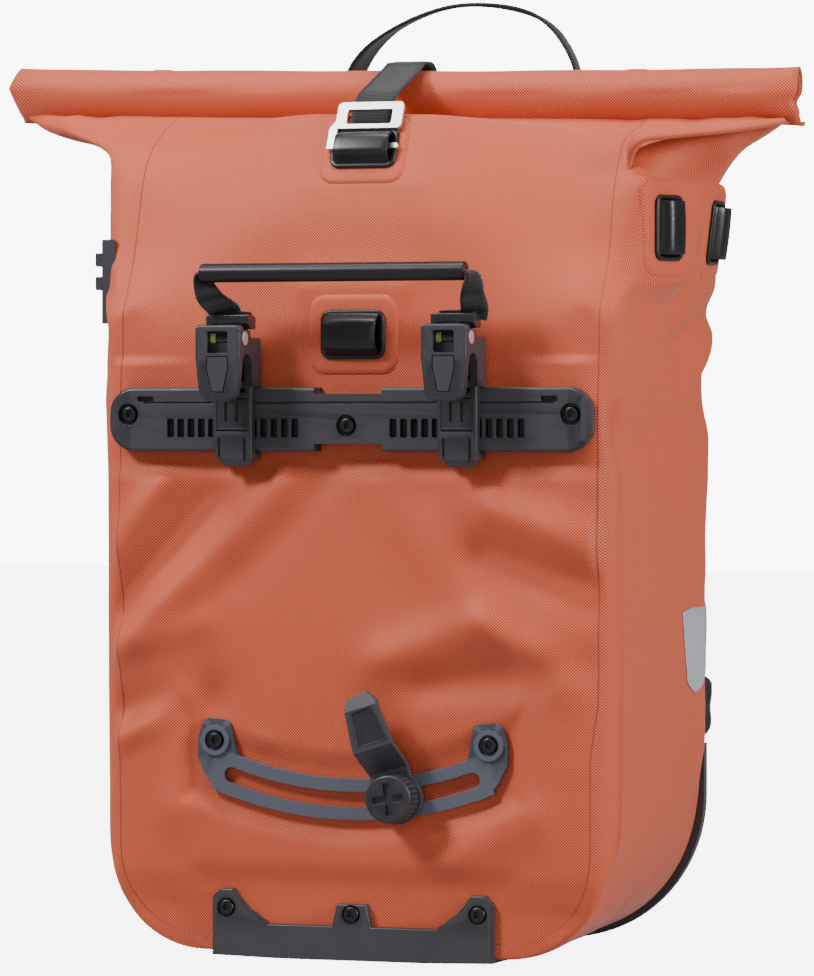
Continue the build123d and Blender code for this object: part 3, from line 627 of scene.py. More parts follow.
def fold_guides():
    """Where chosen points of each folded side end up, and how firmly: {point: (place, hold)}."""
    guides = {}
    across = SIDES // 2
    right = (COLUMNS, COLUMNS + across, 1, *FOLD_RIGHT)
    left = (GIRTH, GIRTH - across, -1, *FOLD_LEFT)
    step = (CLOTH_TOP - FLOOR - corner_radius(0.0)) / (ROWS - ARC_ROWS)
    for seam, middle, way, beak, tuck in (right, left):
        tip = Vector((way * ROLL_HALF * MOUTH_SHARE, ROLL_Y, ROLL_Z - MOUTH_DROP))
        beak, tuck = Vector(beak), Vector(tuck)
        for row in range(ROWS - 1, ROWS - 20, -1):
            down = (ROWS - row) * step
            if down <= TUCK_LENGTH:
                guides[row * GIRTH + middle] = (tip.lerp(tuck, down / TUCK_LENGTH), 0.9)
        for i in range(across):
            share = i / across
            row = ROWS - round(BEAK_LENGTH * (1 - share) / step)
            if row < ROWS:
                column = (seam + way * i) % GIRTH
                guides[row * GIRTH + column] = (beak.lerp(tip, share), 0.55)
    return guides


def fold_and_inflate(obj):
    """Lets the cloth settle as the mouth is drawn flat, the sides fold in and the bag is filled."""
    rest = coordinates(obj)
    group = obj.vertex_groups.new(name="held")
    obj.shape_key_add(name="open")
    shut = obj.shape_key_add(name="shut")
    for i, point in enumerate(rest):
        weight = held_amount(Vector(point))
        if weight > 0:
            group.add([i], weight, "REPLACE")
    for column in range(GIRTH):
        group.add([ROWS * GIRTH + column], 1.0, "REPLACE")
        shut.data[ROWS * GIRTH + column].co = mouth_line(column)
    for i, (place, weight) in fold_guides().items():
        group.add([i], weight, "REPLACE")
        shut.data[i].co = place
    scene = bpy.context.scene
    last, folding = 42, 28
    shut.value = 0.0
    shut.keyframe_insert("value", frame=1)
    shut.value = 1.0
    shut.keyframe_insert("value", frame=folding)
    modifier = obj.modifiers.new("cloth", "CLOTH")
    settings = modifier.settings
    settings.quality = 5
    settings.mass = 0.12
    settings.tension_stiffness = 45
    settings.compression_stiffness = 30
    settings.shear_stiffness = 18
    settings.bending_stiffness = 3.5
    settings.tension_damping = settings.compression_damping = settings.shear_damping = 8
    settings.bending_damping = 2
    settings.air_damping = 2.5
    settings.vertex_group_mass = "held"
    settings.pin_stiffness = 1.0
    settings.use_pressure = True
    settings.uniform_pressure_force = PRESSURE
    settings.effector_weights.gravity = 0
    modifier.collision_settings.use_collision = False
    modifier.point_cache.frame_start, modifier.point_cache.frame_end = 1, last
    for number in range(1, last + 1):
        scene.frame_set(number)
    apply_modifiers(obj)
    scene.frame_set(1)
    obj.vertex_groups.clear()


CREASES = [
    # on the front panel: from (x, z) to (x, z), width and height, all in metres
    (-0.136, 0.189, -0.038, 0.275, 0.0105, 0.0030),
    (-0.146, 0.203, -0.088, 0.266, 0.0100, -0.0026),
    (-0.020, 0.284, -0.072, 0.226, 0.0120, -0.0016),
    (-0.146, 0.178, -0.092, 0.196, 0.0080, 0.0016),
    (-0.140, 0.146, -0.086, 0.152, 0.0110, -0.0024),
    (-0.142, 0.128, -0.104, 0.152, 0.0080, 0.0024),
    (0.022, 0.177, 0.084, 0.198, 0.0120, 0.0026),
    (0.084, 0.198, 0.130, 0.168, 0.0110, 0.0028),
    (0.045, 0.160, 0.144, 0.172, 0.0100, -0.0022),
    (0.082, 0.236, 0.147, 0.213, 0.0110, -0.0028),
    (0.088, 0.263, 0.147, 0.243, 0.0110, 0.0026),
    (0.020, 0.276, 0.066, 0.222, 0.0150, 0.0014),
    (-0.118, 0.276, -0.147, 0.240, 0.0090, 0.0024),
    (-0.060, 0.120, -0.110, 0.085, 0.0100, 0.0012),
    (0.060, 0.060, 0.110, 0.085, 0.0100, 0.0014),
]
SIDE_CREASES = [
    # on the right-hand side: from (y, z) to (y, z), width and height
    (0.094, 0.396, 0.016, 0.360, 0.0095, -0.0060),
    (0.094, 0.372, 0.030, 0.336, 0.0120, 0.0045),
    (-0.020, 0.330, 0.040, 0.290, 0.0140, 0.0012),
    (0.074, 0.130, 0.070, 0.375, 0.0300, 0.0042),
]


def crease_height(a, b, creases):
    """Total height of a set of soft straight creases at points (a, b)."""
    total = np.zeros(len(a))
    for a0, b0, a1, b1, width, height in creases:
        run = np.array([a1 - a0, b1 - b0])
        length = np.linalg.norm(run)
        run = run / length
        along = ((a - a0) * run[0] + (b - b0) * run[1]) / length
        off = np.abs((a - a0) * run[1] - (b - b0) * run[0])
        beyond = np.maximum(np.maximum(-along, along - 1), 0) * length
        swell = 1 + 0.35 * np.clip(along, 0, 1)
        total += height * np.exp(-((off / (width * swell)) ** 2) - (beyond / (width * 1.2)) ** 2)
    return total


def clear_of_fittings(x, z):
    """0 on and beside the fittings of the front panel, rising to 1 away from them."""
    free = np.ones(len(x))
    for node, margin in (("hook_rail", 0.004), ("base_guard", 0.004), ("centre_loop", 0.006)):
        low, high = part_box(node)
        away = np.maximum(np.maximum(low.x - x, x - high.x), np.maximum(low.z - z, z - high.z))
        free = np.minimum(free, np.clip((away - margin) / 0.012, 0, 1))
    radius = np.hypot(x, z - ARC_MIDDLE)
    low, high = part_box("swing_track")
    ends = np.maximum(low.x - x, x - high.x)
    away = np.maximum(np.abs(radius - ARC_RADIUS) - 0.014, ends)
    away = np.where(z < ARC_MIDDLE, away, 1.0)
    return np.minimum(free, rises(away, 0.003, 0.010))


def trim_shell(shell):
    """Keeps the settled cloth outside the front board and its folded sides near their true slope."""
    p = coordinates(shell)
    x, y, z = p[:, 0].copy(), p[:, 1].copy(), p[:, 2].copy()
    limit = FRONT_Y + 0.0002 + np.maximum(0, np.abs(x) - 0.137) * 0.5 + np.maximum(0, z - 0.379) * 0.5
    front = (y < 0) & (z < 0.440) & (z > 0.045)
    y = np.where(front & (y > limit) & (y < -0.045), limit, y)
    reach_right = 0.1595 + 0.56 * np.maximum(0, z - 0.387)
    reach_left = 0.1575 + 0.0065 * rises(z, 0.33, 0.06) + 0.20 * np.maximum(0, z - 0.445)
    room = falls(z, 0.488, 0.012)
    for way, reach in ((1, reach_right), (-1, reach_left)):
        over = way * x - reach
        x = np.where(over > 0, x - way * over * 0.80 * room, x)
    p[:, 0], p[:, 1] = x, y
    set_coordinates(shell, p)


def square_up(shell, flat):
    """Draws the four upright seams back out to their sewn places, and carries the nearby cloth along."""
    p = coordinates(shell)
    seams = ((0, -1, -1), (COLUMNS, 1, -1), (COLUMNS + SIDES, 1, 1), (2 * COLUMNS + SIDES, -1, 1))
    push = np.zeros_like(p)
    for column, way, toward in seams:
        for row in range(ROWS):
            here = p[row * GIRTH + column]
            sewn = flat[row * GIRTH + column]
            if sewn[2] < SHOULDER:
                delta = 0.90 * (sewn - here)
                delta[2] = 0.0
            else:
                wide = 0.1555 + 0.06 * max(0.0, here[2] - 0.40)
                fade = falls(here[2], 0.480, 0.03)
                delta = np.array([(way * wide - here[0]) * fade * 0.9, 0, 0])
                if here[2] < 0.41:
                    delta[1] = 0.5 * (toward * 0.0885 - here[1]) * falls(here[2], 0.41, 0.025)
            for k in range(-7, 8):
                weight = (1 - abs(k) / 8) ** 1.6
                push[row * GIRTH + (column + k) % GIRTH] += delta * weight
    p += push
    meet_roll(p)
    set_coordinates(shell, p)


def meet_roll(p):
    """Lifts, shifts and stretches the top of the cloth as the roll lies, and lowers its front a little."""
    x, z = p[:, 0], p[:, 2]
    t = np.clip(x / ROLL_HALF, -1.1, 1.1)
    high = rises(z, 0.435, 0.055)
    p[:, 2] += roll_lift(t) * high * high * (3 - 2 * high)
    p[:, 0] += (ROLL_SHIFT + (ROLL_STRETCH - 1) * x) * rises(z, 0.475, 0.015)
    ahead = np.clip((ROLL_Y - 0.004 - p[:, 1]) / 0.012, 0, 1)
    p[:, 2] -= 0.0060 * ahead * rises(z, 0.472, 0.020)


def crease_shell(shell):
    """Adds the creases, which stay off the fittings and off the outer edges of the front."""
    p = coordinates(shell)
    x, y, z = p[:, 0], p[:, 1], p[:, 2]
    ahead = falls(y, -0.078, 0.008)
    inside = falls(np.abs(x), 0.154, 0.008)
    lower = falls(z, 0.300, 0.02) * rises(z, 0.03, 0.02)
    rise = (0.0014 * lower + crease_height(x, z, CREASES)) * ahead * inside * clear_of_fittings(x, z)
    y -= np.maximum(2.2 * rise, -0.0016)
    aside = rises(x, 0.140, 0.010)
    x += crease_height(y, z, SIDE_CREASES) * aside
    set_coordinates(shell, p)


def make_shell(materials):
    obj = flat_shell()
    flat = coordinates(obj)
    fold_and_inflate(obj)
    trim_shell(obj)
    square_up(obj, flat)
    subdivide(obj, 2)
    crease_shell(obj)
    paint(obj, materials["fabric"])
    declare(obj, "coated_fabric", ROOT, "front_panel", "rear_panel", "side_panel_left", "side_panel_right",
            "base_panel", "neck_front", "neck_rear", "wing_left", "wing_right")
    return obj


def shell_tree(shell):
    mesh = shell.data
    return BVHTree.FromPolygons([v.co for v in mesh.vertices], [list(f.vertices) for f in mesh.polygons])


def make_reflectors(tree, materials):
    """Thin reflective film laid on each side of the cloth."""
    outline = [(0.028, 0.202), (0.040, 0.158), (0.052, 0.152), (0.066, 0.156), (0.080, 0.176), (0.081, 0.205)]
    bottom, top = 0.1525, 0.2050
    rows, columns = 24, 20
    for way, word in ((1, "right"), (-1, "left")):
        grid = np.zeros((rows, columns, 3))
        for i in range(rows):
            z = bottom + (top - bottom) * i / (rows - 1)
            cuts = []
            for (y0, z0), (y1, z1) in zip(outline, outline[1:] + outline[:1]):
                if (z0 - z) * (z1 - z) <= 0 and z0 != z1:
                    cuts.append(y0 + (y1 - y0) * (z - z0) / (z1 - z0))
            low, high = min(cuts), max(cuts)
            for j in range(columns):
                y = low + (high - low) * j / (columns - 1)
                hit = tree.ray_cast(Vector((way * 0.4, y, z)), Vector((-way, 0, 0)))[0]
                grid[i, j] = (hit.x + way * 0.0004, y, z)
        film = slab("reflector_" + word, grid, 0.0004, materials["film"])
        declare(film, "reflective_panel", ROOT, "reflectors")


def make_fold(tree, materials):
    """The right-hand fold: cloth drawn forward under the roll, its lower edge turned under."""
    rows = 41
    upper = smooth_path([(0.1510, -0.0765, 0.4735), (0.1660, -0.0500, 0.4830), (0.2040, -0.0170, 0.4880),
                         (0.2330, 0.0000, 0.4900)], rows)
    lower = smooth_path([(0.1545, -0.0795, 0.4725), (0.1660, -0.0690, 0.4765), (0.1860, -0.0530, 0.4795),
                         (0.2110, -0.0330, 0.4830), (0.2370, -0.0050, 0.4885)], rows)
    turned_under = ((0.0003, -0.0010), (0.0014, -0.0018), (0.0040, -0.0016), (0.0110, 0.0006),
                    (0.0200, 0.0030))
    grid = []
    for k in range(rows):
        t = k / (rows - 1)
        top, edge = Vector(upper[k]), Vector(lower[k])
        row = []
        for share in np.linspace(0, 1, 9):
            q = top.lerp(edge, share) + Vector((0.2, -0.75, 0.6)) * 0.0014 * math.sin(math.pi * share)
            near, normal, _, _ = tree.find_nearest(q)
            on = near + normal * (-0.0016 + 0.0024 * min(1.0, t * 7))
            blend = min(1.0, t * 5) * min(1.0, share * 4 + 0.1)
            row.append(on.lerp(q, blend * blend * (3 - 2 * blend)))
        base = row[-1]
        under = min(1.0, t * 5) * min(1.0, (1 - t) * 5 + 0.2)
        for dy, dz in turned_under:
            row.append(base + Vector((-0.0004, dy, dz)) * under + Vector((0, 0.002, -0.001)) * (1 - under))
        grid.append([tuple(p) for p in row])
    fold = slab("side_fold", grid, 0.0010, materials["fabric_plain"])
    subdivide(fold, 1)
    declare(fold, "coated_fabric", ROOT)


# bands and slabs ---------------------------------------------------------------------------

WEB_COLUMNS = 7            # points across a strip of webbing


def smooth_path(points, count):
    """A Catmull-Rom curve through the points, evenly resampled."""
    knots = np.array([tuple(p) for p in points], float)
    padded = np.vstack([2 * knots[0] - knots[1], knots, 2 * knots[-1] - knots[-2]])
    fine = []
    for i in range(len(knots) - 1):
        p0, p1, p2, p3 = padded[i:i + 4]
        for t in np.linspace(0, 1, 24, endpoint=False):
            fine.append(0.5 * (2 * p1 + (p2 - p0) * t + (2 * p0 - 5 * p1 + 4 * p2 - p3) * t ** 2
                               + (3 * p1 - p0 - 3 * p2 + p3) * t ** 3))
    fine.append(knots[-1])
    fine = np.array(fine)
    reach = travelled(fine[:, :3])
    even = np.linspace(0, reach[-1], count)
    return np.stack([np.interp(even, reach, fine[:, k]) for k in range(fine.shape[1])], 1)


def travelled(points):
    """The distance along a row of points, from 0 at the first."""
    return np.concatenate([[0], np.cumsum(np.linalg.norm(np.diff(points, axis=0), axis=1))])


def slab(name, grid, thick, material, u_start=0.0):
    """A closed slab about a grid of points [along][across]; thick is a number or one for each point."""
    grid = np.asarray(grid, float)
    rows, columns = grid.shape[:2]
    thick = np.broadcast_to(np.asarray(thick, float), (rows, columns))
    along = np.gradient(grid, axis=0)
    across = np.gradient(grid, axis=1)
    normal = np.cross(along, across)
    normal /= np.maximum(np.linalg.norm(normal, axis=2, keepdims=True), 1e-9)
    top = grid + normal * thick[..., None] / 2
    bottom = grid - normal * thick[..., None] / 2
    u = u_start + travelled(grid[:, columns // 2])
    v = travelled(grid[rows // 2])
    points = [*top.reshape(-1, 3), *bottom.reshape(-1, 3)]
    half = rows * columns
    faces, uvs = [], []

    def add(corners):
        faces.append(tuple(side * half + r * columns + c for side, r, c in corners))
        uvs.extend((u[r], v[c]) for _, r, c in corners)

    for r in range(rows - 1):
        for c in range(columns - 1):
            add([(0, r, c), (0, r + 1, c), (0, r + 1, c + 1), (0, r, c + 1)])
            add([(1, r, c), (1, r, c + 1), (1, r + 1, c + 1), (1, r + 1, c)])
    for r in range(rows - 1):
        add([(0, r, 0), (1, r, 0), (1, r + 1, 0), (0, r + 1, 0)])
        add([(0, r, columns - 1), (0, r + 1, columns - 1), (1, r + 1, columns - 1), (1, r, columns - 1)])
    for c in range(columns - 1):
        add([(0, 0, c), (0, 0, c + 1), (1, 0, c + 1), (1, 0, c)])
        add([(0, rows - 1, c), (1, rows - 1, c), (1, rows - 1, c + 1), (0, rows - 1, c + 1)])
    return new_piece(name, points, faces, {"cloth": uvs}, material)


def unit(vectors):
    return vectors / np.linalg.norm(vectors, axis=1, keepdims=True)


def squared_to(sides, tangents):
    """The sides turned square to the tangents, each of length 1."""
    return unit(sides - tangents * np.sum(sides * tangents, axis=1, keepdims=True))


def band(name, centres, side, half_width, material, thick=WEB_THICK, count=60):
    """Webbing along a smooth path; side is its width's direction, or a list with one for each centre."""
    sides = side if isinstance(side, list) else [side] * len(centres)
    path = smooth_path([(*c, *d) for c, d in zip(centres, sides)], count)
    centre = path[:, :3]
    across = squared_to(path[:, 3:], unit(np.gradient(centre, axis=0)))
    spread = np.linspace(-1, 1, WEB_COLUMNS)
    grid = centre[:, None] + across[:, None] * (spread * half_width)[None, :, None]
    edge = np.where(np.abs(spread) > 0.99, 0.55, 1.0)
    return slab(name, grid, thick * edge[None, :], material)


# the rolled mouth --------------------------------------------------------------------------

def roll_lift(t):
    """The roll runs slightly uphill to the left; t is -1 at its left end and 1 at its right."""
    return 0.0012 - 0.0050 * t + 0.0016 * t * t


def roll_section(turns, count):
    """The spiral of the rolled cloth in (y, z) about the roll's axis, from its outer edge inwards."""
    section = []
    for i in range(count):
        share = i / (count - 1)
        angle = math.radians(-62) - 2 * math.pi * turns * share
        layer = ROLL_R - 0.0012 - 0.0034 * turns * share
        section.append((layer * math.cos(angle), layer * math.sin(angle), share))
    return section


def make_roll(materials):
    """The mouth rolled up on its stiffener: a spiral of doubled cloth, flattened at both ends."""
    section = roll_section(turns=2.15, count=120)
    columns = 121
    grid = np.zeros((len(section), columns, 3))
    random.seed(4)
    waves = [(random.uniform(4, 16), random.uniform(0, 6.3), random.uniform(0.00004, 0.00016))
             for _ in range(7)]
    for j in range(columns):
        t = -1 + 2 * j / (columns - 1)
        x = ROLL_HALF * ROLL_STRETCH * t
        near_left = max(0.0, (-t - 0.86) / 0.14)
        near_right = max(0.0, (t - 0.88) / 0.12)
        flat = 1 - 0.50 * near_left ** 1.6 - 0.40 * near_right ** 1.6
        tall = 1 + 0.03 * near_left + 0.07 * near_right ** 2
        lift = roll_lift(t)
        for i, (y, z, share) in enumerate(section):
            turned = math.atan2(z, y)
            wobble = sum(size * math.sin(rate * x * 4 + phase + 1.5 * turned) for rate, phase, size in waves)
            edge = abs(abs(x) - 0.151) / 0.0056
            seam = 0.0007 * max(0.0, min(1.0, (1 - edge) * 6))
            grow = 1 + (wobble + seam) / ROLL_R
            height = z * tall * grow * (1.0 if z > 0 else 1.24)
            level = max(-1.0, height / ROLL_R)
            slant = 0.0
            if t < -0.9:
                lean = 0.0065 * (level - 0.1) / 0.9 if level > 0.1 else 0.0080 * (0.1 - level)
                slant = (-t - 0.9) / 0.1 * lean
            if t > 0.9:
                slant = -(t - 0.9) / 0.1 * 0.0030 * math.exp(-((level + 0.35) / 0.25) ** 2)
            tuck = 0.0035 * min(1.0, share * 2.2) * max(0.0, abs(t) - 0.93) / 0.07
            along = x + ROLL_SHIFT + slant - math.copysign(tuck, t)
            grid[i, j] = (along, ROLL_Y + y * flat * grow, ROLL_Z + lift + height)
    roll = slab("rolled_mouth", grid, 0.0013, materials["fabric_plain"])
    declare(roll, "coated_fabric", ROOT, "roll_closure", "roll_stiffener")


# welded patches and rubber loops -----------------------------------------------------------

class Spot:
    """A place on the cloth: its origin, the tunnel's direction and the way out."""

    def __init__(self, origin, along, out):
        self.origin = Vector(origin)
        self.along = Vector(along).normalized()
        self.out = Vector(out).normalized()
        self.across = self.out.cross(self.along)

    def at(self, a, b, n):
        return self.origin + self.along * a + self.across * b + self.out * n


def loop_spots():
    """Each loop's place, its arch's length and width, its patch's length and width, and its rise."""
    lean = (0, -0.9026, 0.4308)
    side = 0.426
    centre_sizes = (0.035, 0.024, 0.054, 0.046, 0.008)
    closure_sizes = (0.0360, 0.021, 0.052, 0.044, 0.008)
    side_sizes = (0.0335, 0.023, 0.056, 0.046, 0.0075)
    return {
        "centre_loop": (Spot((0, FRONT_Y, 0.3645), (1, 0, 0), (0, -1, 0)), *centre_sizes),
        "closure_loop": (Spot((-0.0010, -0.0677, 0.473), (1, 0, 0), lean), *closure_sizes),
        "side_loop_front": (Spot((0.1755, -0.042, side), (0, 0, 1), (0.955, -0.297, 0)), *side_sizes),
        "side_loop_rear": (Spot((0.1770, 0.044, side), (0.12, 0, 1), (0.990, 0.060, -0.119)), *side_sizes),
        "side_loop_left": (Spot((-0.172, 0.042, side), (0, 0, 1), (-0.955, 0.297, 0)), *side_sizes),
    }


def settle_on(shell, spot, half_a, half_b, margins, depth):
    """Brings the cloth under a patch onto the patch's own plane, fading out round it."""
    points = coordinates(shell)
    offset = points - np.array(spot.origin)
    a, b, n = (offset @ np.array(axis) for axis in (spot.along, spot.across, spot.out))
    outside = np.maximum(np.maximum(np.abs(a) - half_a, 0) / margins[0],
                         np.maximum(np.abs(b) - half_b, 0) / margins[1])
    weight = np.clip(1 - outside, 0, 1)
    weight = weight * weight * (3 - 2 * weight)
    weight *= np.clip((depth - np.abs(n)) / (0.4 * depth), 0, 1)
    points -= (weight * n)[:, None] * np.array(spot.out)[None]
    points[:, 1] = np.maximum(points[:, 1], np.where(points[:, 2] > 0.35, FRONT_Y - 0.0002, -1))
    set_coordinates(shell, points)


def relax(shell, weight, rounds):
    """Evens the cloth out by drawing each point towards the middle of its neighbours."""
    points, mesh = coordinates(shell), shell.data
    ends = np.empty(2 * len(mesh.edges), np.int64)
    mesh.edges.foreach_get("vertices", ends)
    a, b, count = ends[0::2], ends[1::2], len(points)
    near = np.bincount(a, minlength=count) + np.bincount(b, minlength=count)
    for _ in range(rounds):
        for k in range(3):
            total = np.bincount(a, points[b, k], count) + np.bincount(b, points[a, k], count)
            points[:, k] += weight * (total / near - points[:, k])
    set_coordinates(shell, points)


def ease_front(shell):
    """Takes the sharp bends out of the front above the centre patch, below the closure's patch."""
    p = coordinates(shell)
    x, y, z = p[:, 0], p[:, 1], p[:, 2]
    weight = falls(y, -0.03, 0.01) * falls(np.abs(x), 0.140, 0.02)
    weight *= rises(z, 0.362, 0.02)
    under_patch = np.abs(x) < 0.040
    weight *= np.where(under_patch, falls(z, 0.452, 0.010), falls(z, 0.475, 0.015))
    weight *= np.where((np.abs(x) < 0.034) & (z < 0.394), 0, 1)
    relax(shell, 0.9 * weight, 70)


def ease_side(shell):
    """Evens the folded right-hand side round its two patches."""
    p = coordinates(shell)
    x, z = p[:, 0], p[:, 2]
    weight = rises(x, 0.158, 0.008) * rises(z, 0.396, 0.010)
    weight *= falls(z, 0.486, 0.010)
    for name in ("side_loop_front", "side_loop_rear"):
        spot, _, _, patch_long, patch_short, _ = loop_spots()[name]
        offset = p - np.array(spot.origin)
        a, b = np.abs(offset @ np.array(spot.along)), np.abs(offset @ np.array(spot.across))
        weight *= np.clip(np.maximum(a - patch_long / 2, b - patch_short / 2) / 0.004, 0, 1)
    relax(shell, 0.8 * weight, 30)


def straighten_seam(shell):
    """Sets the weave square and the welded seam straight on the upright parts of the front."""
    mesh = shell.data
    seam, cloth = mesh.uv_layers["seam"].data, mesh.uv_layers["cloth"].data
    points = coordinates(shell)
    start, line_right, line_left = 0.12, 0.1500, 0.1455
    for loop in mesh.loops:
        x, y, z = points[loop.vertex_index]
        if seam[loop.index].uv[1] > 0.99 and y < 0 and z > start:
            share = min(1.0, (z - start) / 0.03)
            line = line_right if x > 0 else line_left
            old = seam[loop.index].uv[0]
            seam[loop.index].uv[0] = old + share * (SEAM_INSET + line - abs(x) - old)
            u = cloth[loop.index].uv[0]
            cloth[loop.index].uv[0] = u + share * (x - u)


def patch(name, spot, half_a, half_b, material):
    """A welded patch: a rounded raised area whose rim slopes down under the cloth."""
    radius, rise = 0.009, 0.0013
    rings = [(0.0012, -0.0016), (0.0002, 0.0002), (-0.0014, rise * 0.75), (-0.0034, rise),
             (-0.0070, rise * 0.86), (-0.0120, rise * 0.8)]
    points, flat = [], []
    for grow, height in rings:
        ring = rounded_rectangle(half_a + grow, half_b + grow, max(0.0015, radius + grow))
        flat.extend(ring)
        points.extend(spot.at(a, b, height) for a, b in ring)
    count = len(points) // len(rings)
    faces = ring_faces(len(rings), count)
    faces.append(tuple((len(rings) - 1) * count + i for i in range(count)))
    uvs = [flat[v] for face in faces for v in face]
    return new_piece(name, points, faces, {"cloth": uvs}, material)


def rubber_loop(name, spot, long_side, short_side, rise, material):
    """An arch of rubber welded down at two edges, in a thin rim with rounded corners."""
    half, foot = long_side / 2, short_side / 2
    base = 0.0012
    rising = [(-foot - 0.0012, 0.0006), (-foot + 0.0006, 0.0016), (-foot + 0.0022, 0.0040),
              (-foot + 0.0042, rise * 0.84), (-foot * 0.35, rise)]
    profile = rising + [(-b, n) for b, n in reversed(rising)]
    curve = smooth_path([(b, n, 0) for b, n in profile], 34)
    grid = []
    for b, n, _ in curve:
        row = []
        for k in range(9):
            t = -1 + k / 4
            pinch = 1 - 0.05 * t * t
            row.append(tuple(spot.at(t * (half - 0.0012), b * pinch, base + n * (1 - 0.06 * t * t))))
        grid.append(row)
    arch = slab(name, grid, 0.0017, material)
    bevel_edges(arch, 0.0004)
    rings = [(0.0024, 0.0004), (0.0024, 0.0014), (0.0016, 0.0022), (0.0004, 0.0022), (-0.0006, 0.0014),
             (-0.0010, 0.0004)]
    rim_points = []
    for grow, height in rings:
        for a, b in rounded_rectangle(half + grow, foot + grow, 0.0035 + grow):
            rim_points.append(spot.at(a, b, 0.0009 + height))
    rim_faces = ring_faces(len(rings), len(rim_points) // len(rings), closed=True)
    rim = new_piece(name + "_rim", rim_points, rim_faces, None, material)
    bed_points = [spot.at(a, b, 0.0017) for a, b in rounded_rectangle(half - 0.0005, foot - 0.0005, 0.003)]
    bed = new_piece(name + "_bed", bed_points, [tuple(range(len(bed_points)))], None, material, smooth=False)
    return [arch, rim, bed]


def make_loops(shell, materials):
    """The five rubber loops on their patches, and the cloth settled and evened out round them."""
    nodes = {"centre_loop": "centre_loop", "closure_loop": "closure_loop",
             "side_loop_front": "side_loops_right", "side_loop_rear": "side_loops_right",
             "side_loop_left": "side_loop_left"}
    reaches = {"closure_loop": ((0.120, 0.075), 0.045), "side_loop_rear": ((0.045, 0.022), 0.034)}
    for name, (spot, long_side, short_side, patch_long, patch_short, rise) in loop_spots().items():
        half_a, half_b = patch_long / 2, patch_short / 2
        margins, depth = reaches.get(name, ((0.018, 0.018), 0.020))
        settle_on(shell, spot, half_a, half_b, margins, depth)
        welded = patch(name + "_patch", spot, half_a, half_b, materials["fabric_plain"])
        declare(welded, "coated_fabric", ROOT, nodes[name])
        for part in rubber_loop(name + "_rubber", spot, long_side, short_side, rise, materials["rubber"]):
            declare(part, "black_rubber", ROOT, nodes[name])
    ease_front(shell)
    ease_side(shell)
    straighten_seam(shell)


# straps ------------------------------------------------------------------------------------

def make_closure_strap(materials):
    """From the rear of the neck over the roll, down behind the buckle's upper bar."""
    reach = ROLL_R + 0.0022
    over = [(ROLL_Y - reach * math.cos(math.radians(a)), ROLL_Z + 0.0012 + reach * math.sin(math.radians(a)))
            for a in (52, 70, 88, 106, 124, 142, 160)]
    yz = [(-0.0623, 0.4885), (-0.0611, 0.4945), (-0.0580, 0.4998), (-0.0480, 0.5072), (-0.0290, 0.5145),
          *over, (0.0230, 0.4990), (0.0300, 0.4962), (0.0480, 0.4928), (0.0640, 0.4885)]
    centres = [(0.0006 * math.sin(i), y, z) for i, (y, z) in enumerate(yz)]
    strap = band("closure_strap_web", centres, (1, 0, 0), 0.0125, materials["webbing"], count=90)
    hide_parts("closure_strap")
    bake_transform(strap)


def grip_web_route(word, bar_x, bar_y, bar_z):
    """Centres, directions of width and half widths of one side's webbing, from the tube to the lever."""
    low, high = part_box("grip_tube")
    tube_y, tube_z = (low.y + high.y) / 2, (low.z + high.z) / 2
    if word == "left":
        end = low.x
        centres = [(end + 0.010, tube_y, tube_z),
                   (end + 0.0010, tube_y, tube_z - 0.0008),
                   (end + 0.0014, tube_y + 0.0005, tube_z - 0.0072),
                   (end + 0.0048, tube_y + 0.0020, tube_z - 0.0145),
                   (bar_x - 0.0058, bar_y + 0.0030, bar_z + 0.0030),
                   (bar_x - 0.0044, bar_y + 0.0052, bar_z - 0.0020)]
        sides = [(0.0, 1, 0.1), (0.45, 0.9, 0.2), (0.88, 0.35, 0.30), (0.96, 0.12, 0.26), (0.98, 0, 0.2),
                 (1, 0, 0.1)]
        return centres, sides, [0.0050, 0.0054, 0.0070, 0.0086, 0.0096, 0.0096]
    end = high.x
    centres = [(end - 0.010, tube_y, tube_z),
               (end + 0.0012, tube_y, tube_z - 0.0003),
               (end + 0.0040, tube_y + 0.0008, tube_z - 0.0056),
               (end + 0.0030, tube_y + 0.0020, tube_z - 0.0130),
               (end - 0.0012, bar_y + 0.0036, bar_z + 0.0030),
               (end - 0.0026, bar_y + 0.0056, bar_z - 0.0030)]
    sides = [(0.0, 1, 0.0), (0.15, 1, 0.0), (0.55, 0.8, 0.30), (0.88, 0.45, 0.10), (0.96, 0.25, 0.0),
             (1, 0.1, 0.0)]
    return centres, sides, [0.0050, 0.0054, 0.0064, 0.0076, 0.0080, 0.0080]


